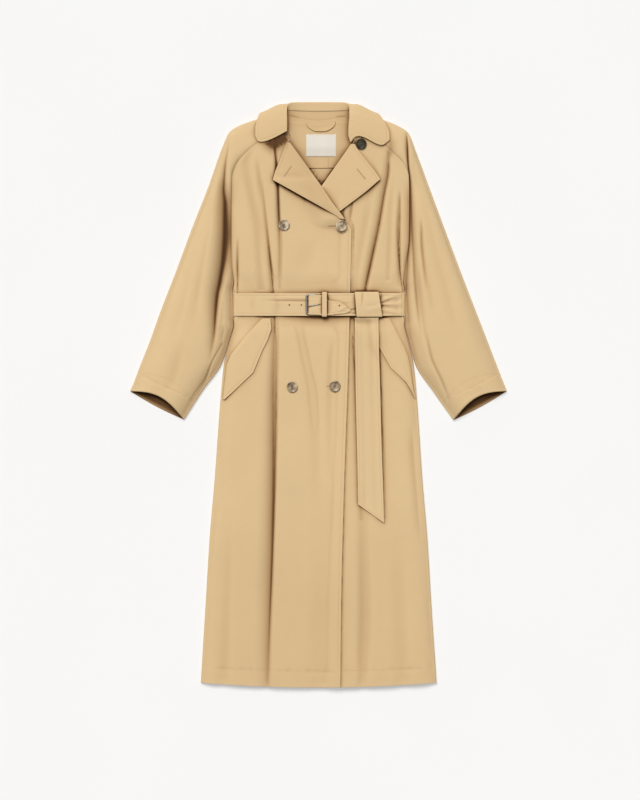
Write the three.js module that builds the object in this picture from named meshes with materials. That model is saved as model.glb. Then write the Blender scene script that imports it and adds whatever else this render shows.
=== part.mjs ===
// A long double-breasted trench coat, laid flat on its back with its front side up.
// Millimetres, +Z up. x runs to the right of a viewer who looks down on the coat, and y
// towards the collar. The origin is under the middle of the coat, on the surface it lies on.
// Every panel is a cloth wall: a grid of outer points, and a second grid one cloth inside it.
import * as THREE from 'three';
import { mergeVertices } from 'three/addons/utils/BufferGeometryUtils.js';

// Driving dimensions
const cloth = 1.8;            // gabardine with its facing, measured across the wall
const layerGap = 0.6;         // clear space between two cloths that lie on each other
const seamGap = 0.4;          // half of the space between two panels along a seam
const foldRadius = 4.5;       // round of the side edges, where front turns into back
const bodyHeight = 17;        // loft of the laid body between its folds
const beltHeight = 12.5;      // the same where the belt draws it in
const beltLow = 165;          // y of the belt's lower edge
const beltHigh = 213;         // y of the belt's upper edge
const underarm = 250;         // y where the armholes end
const hemMiddle = -615.5;     // y of the hem at the middle
const hemRise = 10;           // how much higher the hem is at the sides
const beltCloth = 1.8;        // the belt's two layers, pressed flat
const collarCloth = 1.6;
const collarTurn = 2.1;       // outer radius of the turn where the collar falls
const flapCloth = 1.6;
const facingCloth = 1;        // the facing inside the back neck
const loopDiameter = 3.2;
const buttonDiameter = 23.5;

const colours = { cloth: 0xdcbf90, lining: 0xd2b48a, label: 0xe6dfd0, horn: 0x6b5138, metal: 0x8d857a };
const material = {
  cloth: () => new THREE.MeshStandardMaterial({ color: colours.cloth, roughness: 0.85, metalness: 0 }),
  lining: () => new THREE.MeshStandardMaterial({ color: colours.lining, roughness: 0.7, metalness: 0 }),
  label: () => new THREE.MeshStandardMaterial({ color: colours.label, roughness: 0.6, metalness: 0 }),
  horn: () => new THREE.MeshStandardMaterial({ color: colours.horn, roughness: 0.3, metalness: 0 }),
  metal: () => new THREE.MeshStandardMaterial({ color: colours.metal, roughness: 0.4, metalness: 0.7 }),
};

// Small mathematics
const clamp = (value, low, high) => Math.min(Math.max(value, low), high);
const mix = (a, b, t) => a + (b - a) * t;
const smooth = (low, high, value) => {
  const t = clamp((value - low) / (high - low), 0, 1);
  return t * t * (3 - 2 * t);
};
const steps = (count) => Array.from({ length: count + 1 }, (_, i) => i / count);

// A smooth curve through the rows of a table, from one named column to another, that never
// swings past its points (a monotone cubic).
function curve(table, from, to) {
  const rows = [...table].sort((a, b) => a[from] - b[from]);
  const x = rows.map((row) => row[from]);
  const y = rows.map((row) => row[to]);
  const slope = x.slice(1).map((_, i) => (y[i + 1] - y[i]) / (x[i + 1] - x[i]));
  const tangent = x.map((_, i) => {
    if (i === 0) return slope[0];
    if (i === x.length - 1) return slope[i - 1];
    if (slope[i - 1] * slope[i] <= 0) return 0;
    return (2 * slope[i - 1] * slope[i]) / (slope[i - 1] + slope[i]);
  });
  return (value) => {
    const v = clamp(value, x[0], x[x.length - 1]);
    let i = 0;
    while (i < x.length - 2 && v > x[i + 1]) i += 1;
    const h = x[i + 1] - x[i];
    const t = (v - x[i]) / h;
    const a = (1 + 2 * t) * (1 - t) * (1 - t) * y[i] + t * (1 - t) * (1 - t) * h * tangent[i];
    return a + t * t * (3 - 2 * t) * y[i + 1] + t * t * (t - 1) * h * tangent[i + 1];
  };
}

// The outline of the laid coat, as real sizes. Above y = 458 the sides follow the raglan seams.
const sides = [
  { y: 549, left: -108, right: 110 }, { y: 531, left: -128, right: 133 },
  { y: 510, left: -152, right: 156 }, { y: 485, left: -173, right: 180 },
  { y: 458, left: -182, right: 190 }, { y: 413, left: -183, right: 191 },
  { y: 324, left: -183, right: 190 }, { y: 270, left: -182, right: 183 },
  { y: 222, left: -177, right: 178 }, { y: 158, left: -176, right: 179 },
  { y: 114, left: -187, right: 189 }, { y: 66, left: -199, right: 200 },
  { y: -3, left: -206, right: 207 }, { y: -180, left: -219, right: 219 },
  { y: -297, left: -229, right: 229 }, { y: -444, left: -238, right: 238 },
  { y: -606, left: -248, right: 249 },
];
const leftSide = curve(sides, 'y', 'left');
const rightSide = curve(sides, 'y', 'right');

// The free front edges: lapel roll line above, straight edge below. The right front laps over
// the left one, whose own edge is hidden.
const overEdge = curve([
  { y: 545, x: -71 }, { y: 531, x: -61 }, { y: 488, x: -30 }, { y: 442, x: 3 }, { y: 402, x: 30 },
  { y: 364, x: 58 }, { y: 343, x: 69 }, { y: 278, x: 68 }, { y: 72, x: 63 },
  { y: -222, x: 53 }, { y: -432, x: 48 }, { y: -616, x: 46 },
], 'y', 'x');
const underEdge = curve([
  { y: 545, x: 81 }, { y: 527, x: 69 }, { y: 484, x: 39 }, { y: 443, x: 10 }, { y: 408, x: -14 },
  { y: 370, x: -42 }, { y: 330, x: -78 }, { y: 278, x: -88 }, { y: 66, x: -84 }, { y: -616, x: -69 },
], 'y', 'x');

// The back's raglan seams meet the back neck.
const backSides = [
  { y: 586, half: 98 }, { y: 584, half: 100 }, { y: 560, half: 122 }, { y: 530, half: 141 },
  { y: 495, half: 163 }, { y: 458, half: 182 },
];
const backHalf = curve(backSides, 'y', 'half');
const backEdge = (side) => (y) => (y > 458 ? side * backHalf(y) + (side > 0 ? 8 * smooth(584, 458, y) : 0)
  : (side < 0 ? leftSide(y) : rightSide(y)));

// How far the side is rolled round: hardly at the armhole, fully under the arm.
const sideRoll = (y) => mix(0.15, 1, smooth(underarm + 15, underarm - 25, y));
// Height of the seam between body and sleeve: a valley beside the arm, level at the raglan.
const seamHeight = (y) => mix(2 * foldRadius, 15, smooth(445, 525, y))
  + (beltCloth + layerGap) * smooth(66, 30, Math.abs(y - (beltLow + beltHigh) / 2));

// The largest folds of the body. Each has a spine of points from top to bottom, a half-width
// to each side, a depth (troughs are negative) and the lengths over which its ends fade.
const bodyFolds = [
  {
    spine: [[-90, 520], [-87, 445], [-82, 385], [-82, 215]],
    left: 12, right: 8, depth: -5.5, top: 60, bottom: 90,
  },
  {
    spine: [[-119, 430], [-105, 330], [-96, 275], [-94, 205]],
    left: 20, right: 8, depth: -7, top: 120, bottom: 20,
  },
  { spine: [[-150, 470], [-128, 330], [-121, 205]], left: 16, right: 16, depth: -3, top: 60, bottom: 60 },
  { spine: [[-171, 330], [-170, 205]], left: 9, right: 11, depth: -5, top: 90, bottom: 15 },
  {
    spine: [[147, 503], [145, 455], [130, 377], [112, 293], [98, 205]],
    left: 21, right: 11, depth: -7.5, top: 60, bottom: 15,
  },
  { spine: [[168, 410], [166, 325], [173, 225]], left: 10, right: 9, depth: -6, top: 70, bottom: 25 },
  {
    spine: [[-88, 172], [-93, -10], [-99, -180], [-103, -350], [-108, -520], [-112, -620]],
    left: 34, right: 12, depth: -9, top: 12, bottom: 70,
  },
  {
    spine: [[-44, 160], [-24, 60], [-10, -30], [-6, -200]],
    left: 18, right: 15, depth: -3.5, top: 60, bottom: 160,
  },
  { spine: [[93, -300], [97, -430], [93, -600]], left: 14, right: 26, depth: -4, top: 150, bottom: 60 },
  { spine: [[196, -70], [206, -260]], left: 14, right: 12, depth: -3, top: 90, bottom: 120 },
];
const sleeveFolds = {
  left: [
    {
      spine: [[-196, 461], [-198, 345], [-203, 282], [-214, 219], [-221, 156], [-224, 104]],
      left: 32, right: 18, depth: -10, top: 90, bottom: 60,
    },
  ],
  right: [
    {
      spine: [[196, 455], [200, 330], [206, 220], [216, 120]],
      left: 12, right: 22, depth: -8, top: 60, bottom: 70,
    },
    { spine: [[250, 340], [276, 200], [300, 90]], left: 26, right: 30, depth: -3, top: 110, bottom: 90 },
  ],
};

function foldDepth(folds, x, y) {
  let sum = 0;
  for (const fold of folds) {
    const ys = fold.spine.map((p) => p[1]);
    const [low, high] = [ys[ys.length - 1], ys[0]];
    if (y < low || y > high) continue;
    fold.line ??= curve(fold.spine.map((p) => ({ y: p[1], x: p[0] })), 'y', 'x');
    const away = x - fold.line(y);
    const t = away / (away < 0 ? fold.left : fold.right);
    if (Math.abs(t) >= 1) continue;
    const fade = smooth(high, high - fold.top, y) * smooth(low, low + fold.bottom, y);
    sum += fold.depth * (1 - t * t) ** 2 * fade;
  }
  return sum;
}

// Height of the body's outer face where only one front lies on the back. It climbs quickly
// from the side seam, is drawn down under the belt, and never comes too near the back.
const beltMiddle = (beltLow + beltHigh) / 2;
function bodyTop(x, y) {
  const roll = sideRoll(y) * foldRadius;
  const inside = Math.max(Math.min(x - leftSide(y), rightSide(y) - x) - roll, 0);
  const drawn = smooth(70, 24, Math.abs(y - beltMiddle));
  const plateau = mix(bodyHeight, beltHeight, drawn);
  const edge = seamHeight(y);
  const climb = 1 - (1 - clamp(inside / 38, 0, 1)) ** 2.6;
  const fold = foldDepth(bodyFolds, x, y) * (1 - 0.55 * drawn) * smooth(0, 14, inside);
  return Math.max(mix(edge, Math.max(plateau, edge), climb) + fold, 2 * cloth + 2.8 + 2.6 * drawn);
}

// The back lies on the surface, except where the belt and the collar pass under it.
const beltLift = (y) => (beltCloth + layerGap) * smooth(66, 30, Math.abs(y - beltMiddle));
const collarLift = (y) => (collarCloth + 0.8) * smooth(500, 528, y);
const backLift = (x, y) => beltLift(y) + collarLift(y);

// Builds one closed wall from a grid of pairs of points (outer and inner face).
function wallGeometry(grid, closed = false) {
  const rows = grid.length;
  const cols = grid[0].length;
  const positions = [];
  for (const face of ['outer', 'inner']) {
    for (const row of grid) for (const pair of row) positions.push(...pair[face]);
  }
  const id = (face, i, j) => face * rows * cols + i * cols + (j % cols);
  const index = [];
  const quad = (a, b, c, d) => index.push(a, b, c, a, c, d);
  const across = closed ? cols : cols - 1;
  for (let i = 0; i < rows - 1; i += 1) {
    for (let j = 0; j < across; j += 1) {
      quad(id(0, i, j), id(0, i + 1, j), id(0, i + 1, j + 1), id(0, i, j + 1));
      quad(id(1, i, j), id(1, i, j + 1), id(1, i + 1, j + 1), id(1, i + 1, j));
    }
  }
  for (let j = 0; j < across; j += 1) {
    quad(id(0, 0, j), id(0, 0, j + 1), id(1, 0, j + 1), id(1, 0, j));
    quad(id(0, rows - 1, j), id(1, rows - 1, j), id(1, rows - 1, j + 1), id(0, rows - 1, j + 1));
  }
  if (!closed) {
    for (let i = 0; i < rows - 1; i += 1) {
      quad(id(0, i, 0), id(1, i, 0), id(1, i + 1, 0), id(0, i + 1, 0));
      quad(id(0, i, cols - 1), id(0, i + 1, cols - 1), id(1, i + 1, cols - 1), id(1, i, cols - 1));
    }
  }
  const geometry = new THREE.BufferGeometry();
  geometry.setAttribute('position', new THREE.Float32BufferAttribute(positions, 3));
  geometry.setIndex(index);
  if (signedVolume(geometry) < 0) geometry.setIndex(index.reverse());
  return geometry;
}

function signedVolume(geometry) {
  const p = geometry.getAttribute('position');
  const corner = [0, 1, 2].map(() => new THREE.Vector3());
  let sum = 0;
  for (let k = 0; k < geometry.index.count; k += 3) {
    corner.forEach((v, n) => v.fromBufferAttribute(p, geometry.index.getX(k + n)));
    sum += corner[0].dot(corner[1].clone().cross(corner[2])) / 6;
  }
  return sum;
}

const coat = new THREE.Group();
function add(name, geometry, kind) {
  const mesh = new THREE.Mesh(geometry, material[kind]());
  mesh.name = name;
  coat.add(mesh);
  return mesh;
}

// What lies on a panel is made from the panel's own points: the highest point of the given
// grids near a place, so that the upper cloth bridges the troughs of the lower one.
const facetLists = new Map();
function facetsOf(grid) {
  if (!facetLists.has(grid)) {
    const facets = [];
    for (let i = 0; i < grid.length - 1; i += 1) {
      for (let j = 0; j < grid[i].length - 1; j += 1) {
        const around = [grid[i][j], grid[i + 1][j], grid[i + 1][j + 1], grid[i][j + 1]];
        const [a, b, c, d] = around.map((p) => p.outer);
        for (const corners of [[a, b, c], [a, c, d]]) {
          const [xs, ys] = [0, 1].map((k) => corners.map((p) => p[k]));
          const [x0, x1] = [Math.min(...xs), Math.max(...xs)];
          const [y0, y1] = [Math.min(...ys), Math.max(...ys)];
          facets.push({ corners, x0, x1, y0, y1 });
        }
      }
    }
    facetLists.set(grid, facets);
  }
  return facetLists.get(grid);
}
function heightOn(grid, x, y) {
  let best = -Infinity;
  for (const { corners: [a, b, c], x0, x1, y0, y1 } of facetsOf(grid)) {
    if (x < x0 - 1e-6 || x > x1 + 1e-6 || y < y0 - 1e-6 || y > y1 + 1e-6) continue;
    const area = (b[0] - a[0]) * (c[1] - a[1]) - (c[0] - a[0]) * (b[1] - a[1]);
    if (Math.abs(area) < 1e-9) continue;
    const s = ((x - a[0]) * (c[1] - a[1]) - (c[0] - a[0]) * (y - a[1])) / area;
    const t = ((b[0] - a[0]) * (y - a[1]) - (x - a[0]) * (b[1] - a[1])) / area;
    if (s < -1e-6 || t < -1e-6 || s + t > 1 + 1e-6) continue;
    best = Math.max(best, a[2] + s * (b[2] - a[2]) + t * (c[2] - a[2]));
  }
  return best;
}
function restOn(grids, x, y, reach) {
  let best = -Infinity;
  const ring = steps(8).map((turn) => 2 * Math.PI * turn);
  const spots = [[0, 0], ...ring.map((a) => [reach * Math.cos(a), reach * Math.sin(a)])];
  for (const [dx, dy] of spots) {
    for (const grid of grids) best = Math.max(best, heightOn(grid, x + dx, y + dy));
  }
  return best;
}

// Places across a panel, as shares of its width, closer together where its deep folds run.
const overColumns = [
  0, 0.06, 0.13, 0.2, 0.26, 0.31, 0.35, 0.385, 0.42, 0.46, 0.52, 0.6, 0.69, 0.79, 0.88, 0.95, 1,
];
const underColumns = [0, 0.12, 0.24, 0.36, 0.46, 0.54, 0.6, 0.66, 0.72, 0.78, 0.84, 0.9, 0.95, 1];
const rollAngles = [0, 35, 65];

// The rows of a front: y at its free edge and at its side.
const frontRows = [
  { edge: 530, side: 549 }, { edge: 512, side: 531 }, { edge: 492, side: 510 }, { edge: 470, side: 485 },
  { edge: 446, side: 458 }, { edge: 420, side: 436 }, { edge: 392, side: 407 }, { edge: 366, side: 378 },
  { edge: 343, side: 350 }, { edge: 318, side: 322 }, { edge: 290, side: 292 }, { edge: 264, side: 265 },
  { edge: 243, side: 243 }, { edge: 226, side: 226 }, { edge: 210, side: 210 }, { edge: 189, side: 189 },
  { edge: 168, side: 168 }, { edge: 152, side: 152 }, { edge: 130, side: 130 }, { edge: 98, side: 98 },
  { edge: 60, side: 60 }, { edge: 10, side: 10 }, { edge: -50, side: -50 }, { edge: -120, side: -120 },
  { edge: -200, side: -200 }, { edge: -290, side: -289 }, { edge: -380, side: -377 },
  { edge: -460, side: -455 }, { edge: -540, side: -533 }, { edge: -615.5, side: -606 },
];
const hemY = (x) => hemMiddle + hemRise * (x / 249) ** 2;

// One row of a front: the round of its side seam first, then across to the free edge.
function frontRow(side, row, edgeX, columns, height) {
  const y = row.side;
  const roll = sideRoll(y) * foldRadius;
  const outline = side < 0 ? leftSide(y) + seamGap : rightSide(y) - seamGap;
  const last = row === frontRows[frontRows.length - 1];
  const pairs = rollAngles.map((degrees) => {
    const a = THREE.MathUtils.degToRad(degrees);
    const lean = THREE.MathUtils.degToRad(90 - (90 - degrees) * sideRoll(y));
    const x = outline - side * roll * (1 - Math.cos(a));
    const z = height(outline - side * roll, y) - roll * (1 - Math.sin(a)) + 0.15;
    return {
      outer: [x, y, z],
      inner: [x - side * cloth * Math.cos(lean), y, z - cloth * Math.sin(lean)],
    };
  });
  for (const share of columns) {
    const x = mix(outline - side * roll, edgeX, share);
    const arch = Math.sin(Math.PI * share);
    const neck = [15 * arch ** 0.6, 5 * arch][frontRows.indexOf(row)] ?? 0;
    const rowY = last ? hemY(x) : mix(y, row.edge, share) + neck;
    const z = height(x, rowY) + 0.15;
    pairs.push({ outer: [x, rowY, z], inner: [x, rowY, z - cloth] });
  }
  return pairs;
}

// Under front (its wearer's left): it carries the hidden underlap.
const lapelSetBack = 3.6;
const lapelZone = (y, low) => (y > low ? lapelSetBack : 0);
const underFront = frontRows.map((row) => frontRow(1, row, underEdge(row.edge) + lapelZone(row.edge, 350),
  underColumns, (x, y) => {
    const sunk = 2.2 * smooth(overEdge(y) + 14, overEdge(y) - 14, x);
    return Math.max(bodyTop(x, y) - sunk, 2 * cloth + 2.8 + 2.6 * smooth(70, 24, Math.abs(y - beltMiddle)));
  }));
add('front_under', wallGeometry(underFront), 'cloth');

// A lapel is the front's own cloth, folded over at the roll line and laid back on the front.
// Each row starts in the turn at the roll and runs out to the lapel's edge.
const turnAngles = [-90, -135, 180, 135, 90];
function lapelGrid(front, side, rows, rollLine, lift) {
  const reachX = 2.6;
  const turn = cloth + layerGap / 2;
  return rows.map(({ roll, x: outX, y: outY }, i) => {
    const apex = rollLine(roll);
    const level = restOn([front], apex + side * 5, roll, 3);
    const around = turnAngles.map((degrees) => {
      const a = THREE.MathUtils.degToRad(degrees);
      const [x, z] = [apex + side * reachX * (1 + Math.cos(a)), level - cloth + turn + turn * Math.sin(a)];
      const inner = turn - cloth;
      return {
        outer: [x, roll, z],
        inner: [
          apex + side * (reachX + (reachX - cloth) * Math.cos(a)),
          roll,
          level - cloth + turn + inner * Math.sin(a),
        ],
      };
    });
    const start = apex + side * reachX;
    const flat = [0.2, 0.4, 0.6, 0.8, 1].map((share) => {
      const [x, y] = [mix(start, outX, share), mix(roll, outY, share)];
      const rest = restOn([front], x, y, 10) + layerGap + cloth;
      const z = Math.max(rest, level + 2 * turn - cloth) + lift(share, i / (rows.length - 1));
      return { outer: [x, y, z], inner: [x, y, z - cloth] };
    });
    return [...around, ...flat];
  });
}
const lapelRight = lapelGrid(underFront, 1, [
  { roll: 526, x: 76, y: 526 }, { roll: 512, x: 84, y: 512 }, { roll: 492, x: 99, y: 493 },
  { roll: 470, x: 117, y: 471 }, { roll: 446, x: 130, y: 452 }, { roll: 425, x: 100, y: 426 },
  { roll: 408, x: 75, y: 407 }, { roll: 392, x: 47, y: 386 }, { roll: 380, x: 14, y: 365 },
], underEdge, (share) => 1.2 * share);
add('lapel_right', wallGeometry(lapelRight), 'cloth');

// Over front (its wearer's right): it lies on the underlap and shows its whole width.
const overFront = frontRows.map((row) => frontRow(-1, row, overEdge(row.edge) - lapelZone(row.edge, 360),
  overColumns, (x, y) => {
    const below = Math.max(restOn([underFront], x, y, 9), restOn([lapelRight], x, y, 27));
    return Math.max(bodyTop(x, y), below + cloth + layerGap);
  }));
add('front_over', wallGeometry(overFront), 'cloth');

const lapelLeft = lapelGrid(overFront, -1, [
  { roll: 529, x: -67, y: 529 }, { roll: 512, x: -75, y: 508 }, { roll: 492, x: -82, y: 490 },
  { roll: 470, x: -91, y: 468 }, { roll: 450, x: -96, y: 450 }, { roll: 430, x: -60, y: 430 },
  { roll: 410, x: -24.5, y: 410 }, { roll: 392, x: 7.5, y: 392 }, { roll: 376, x: 36, y: 376 },
  { roll: 368, x: 46, y: 368.5 },
], overEdge, (share) => 2.5 * share);
add('lapel_left', wallGeometry(lapelLeft), 'cloth');

// Back: flat on the surface, its sides turned up to meet the fronts.
const backRows = [
  586, 559, 530, 495, 458, 420, 370, 320, 275, 250, 232, 216, 190, 164, 148, 120, 80, 20, -60, -200,
  -340, -480, -606,
];
const neckDip = (x) => 12 * (1 - clamp(Math.abs(x) / 75, 0, 1) ** 2);
const back = backRows.map((y, i) => {
  const first = i === 0;
  const last = i === backRows.length - 1;
  const roll = sideRoll(y) * foldRadius;
  const [xl, xr] = [backEdge(-1)(y) + seamGap, backEdge(1)(y) - seamGap];
  const turned = (side, outline) => rollAngles.map((degrees) => {
    const a = THREE.MathUtils.degToRad(degrees);
    const lean = THREE.MathUtils.degToRad(90 - (90 - degrees) * sideRoll(y));
    const x = outline - side * roll * (1 - Math.cos(a));
    const z = Math.max(roll * (1 - Math.sin(a)) - 0.15 * Math.cos(a), 0) + backLift(x, y);
    return { outer: [x, y, z], inner: [x - side * cloth * Math.cos(lean), y, z + cloth * Math.sin(lean)] };
  });
  const middle = steps(8).map((share) => {
    const x = mix(xl + roll, xr - roll, share);
    const rowY = last ? hemY(x) : y - (first ? neckDip(x) : i === 1 ? 0.4 * neckDip(x) : 0);
    const z = backLift(x, y);
    return { outer: [x, rowY, z], inner: [x, rowY, z + cloth] };
  });
  return [...turned(-1, xl), ...middle, ...turned(1, xr).reverse()];
});
add('back', wallGeometry(back), 'cloth');

// Sleeves: a raglan sleeve is cut as a front and a back, seamed over the shoulder and under
// the arm. Each row runs from the overarm edge to the inner edge.
const sleeveRows = {
  left: [
    { ox: -119, oy: 582, ix: -108, iy: 549, crown: 1 }, { ox: -144, oy: 574, ix: -128, iy: 531, crown: 2 },
    { ox: -165, oy: 566, ix: -152, iy: 510, crown: 4 }, { ox: -186, oy: 553, ix: -173, iy: 485, crown: 6 },
    { ox: -203, oy: 518, ix: -182, iy: 458, crown: 8 }, { ox: -230, oy: 442, ix: -184, iy: 387, crown: 14 },
    { ox: -266, oy: 350, ix: -184, iy: 314, crown: 20 }, { ox: -299, oy: 261, ix: -183, iy: 236, crown: 24 },
    { ox: -333, oy: 173, ix: -182, iy: 165, crown: 25 }, { ox: -354, oy: 114, ix: -189, iy: 112, crown: 25 },
    { ox: -377, oy: 56, ix: -204, iy: 64, crown: 24 }, { ox: -387, oy: 29, ix: -243, iy: 9, crown: 22 },
    { ox: -396.5, oy: 7, ix: -283, iy: -53, crown: 21 },
  ],
  right: [
    { ox: 123, oy: 582, ix: 110, iy: 549, crown: 1 }, { ox: 146, oy: 574, ix: 133, iy: 531, crown: 2 },
    { ox: 167, oy: 565, ix: 156, iy: 510, crown: 4 }, { ox: 188, oy: 551, ix: 180, iy: 485, crown: 6 },
    { ox: 205, oy: 511, ix: 191, iy: 458, crown: 8 }, { ox: 232, oy: 438, ix: 192, iy: 387, crown: 14 },
    { ox: 268, oy: 341, ix: 191, iy: 314, crown: 20 }, { ox: 301, oy: 253, ix: 185, iy: 236, crown: 24 },
    { ox: 335, oy: 165, ix: 185, iy: 165, crown: 25 }, { ox: 360, oy: 100, ix: 192, iy: 108, crown: 25 },
    { ox: 379, oy: 51, ix: 204, iy: 62, crown: 24 }, { ox: 388, oy: 28, ix: 242, iy: 5, crown: 22 },
    { ox: 396.5, oy: 7, ix: 284, iy: -54, crown: 21 },
  ],
};
const cuffOpening = 20;       // how far the front of the cuff is drawn up from the back's edge
const beltClear = 2.8;        // room at the body's side for the belt to pass
function sleeveRow(side, table, place, front) {
  const numbered = table.map((row, i) => ({ ...row, i }));
  const at = (key) => curve(numbered, 'i', key)(place);
  const last = place === table.length - 1;
  const [ox, oy, iy] = [at('ox'), at('oy'), at('iy')];
  const bodySide = front || iy < 458 ? (side < 0 ? leftSide(iy) : rightSide(iy)) : backEdge(side)(iy);
  const besideBelt = beltClear * smooth(48, 30, Math.abs(iy - beltMiddle));
  const raglan = iy > 457.9;
  const clear = 2 * seamGap + besideBelt;
  const ixWanted = raglan ? bodySide : at('ix');
  const ix = side * Math.max(side * ixWanted, side * bodySide + clear);
  const outRoll = foldRadius;
  const inRoll = foldRadius * sideRoll(iy);
  const length = Math.hypot(ix - ox, iy - oy);
  const [ux, uy] = [(ix - ox) / length, (iy - oy) / length];
  const up = front ? 1 : -1;
  const seam = seamHeight(iy) - beltLift(iy);
  const outSeam = 2 * foldRadius + collarLift(oy);
  const atDistance = (d, z, nx, nz) => {
    const w = clamp(d / length, 0, 1);
    const drawnUp = last ? (front ? cuffOpening : -3) * Math.sin(Math.PI * w) : 0;
    const x = ox + ux * d - side * 0.4 * drawnUp * 0.9;
    const y = oy + uy * d + drawnUp * 0.9;
    const lift = front ? 0 : collarLift(y);
    return {
      outer: [x, y, z + lift],
      inner: [x + ux * cloth * nx, y + uy * cloth * nx, z + lift - up * cloth * nz],
    };
  };
  const rounded = (radius, share, edgeHeight, inward) => rollAngles.map((degrees) => {
    const a = THREE.MathUtils.degToRad(degrees);
    const lean = THREE.MathUtils.degToRad(90 - (90 - degrees) * share);
    const d = radius * (1 - Math.cos(a));
    const drop = radius * (1 - Math.sin(a));
    const z = front ? edgeHeight - drop + 0.15 : Math.max(drop - 0.15 * Math.cos(a), 0);
    return atDistance(inward > 0 ? d : length - d, z, inward * Math.cos(lean), Math.sin(lean));
  });
  const middle = steps(front ? 10 : 5).map((share) => {
    const d = mix(outRoll, length - inRoll, share);
    const [x, y] = [ox + ux * d, oy + uy * d];
    const crown = at('crown') * Math.sin(Math.PI * share) ** 0.8;
    const folds = side < 0 ? sleeveFolds.left : sleeveFolds.right;
    const fold = foldDepth(folds, x, y) * Math.sin(Math.PI * share) ** 0.5;
    const loose = mix(outSeam, seam, share) + crown + fold;
    const z = front ? Math.max(loose, 2 * cloth + 3 + collarLift(y)) + 0.15 : 0;
    return atDistance(d, z, 0, 1);
  });
  const inner = rounded(inRoll, sideRoll(iy), seam, -1).reverse();
  return [...rounded(outRoll, 1, outSeam, 1), ...middle, ...inner];
}
const sleeveSteps = [0, 1, 2, 3, 4, 4.5, 5, 5.5, 6, 6.5, 7, 7.5, 8, 9, 10, 11, 12];
const sleeveGrid = {};
for (const [name, side] of [['left', -1], ['right', 1]]) {
  const table = sleeveRows[name];
  const seamY = (y) => (y >= 458 ? mix(458, 584, (y - 458) / 91) : y);
  const backTable = table.map((row) => ({ ...row, iy: seamY(row.iy) }));
  sleeveGrid[name] = sleeveSteps.map((place) => sleeveRow(side, table, place, true));
  add(`sleeve_front_${name}`, wallGeometry(sleeveGrid[name]), 'cloth');
  const lower = sleeveSteps.map((place) => sleeveRow(side, backTable, place, false));
  add(`sleeve_back_${name}`, wallGeometry(lower), 'cloth');
}

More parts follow.
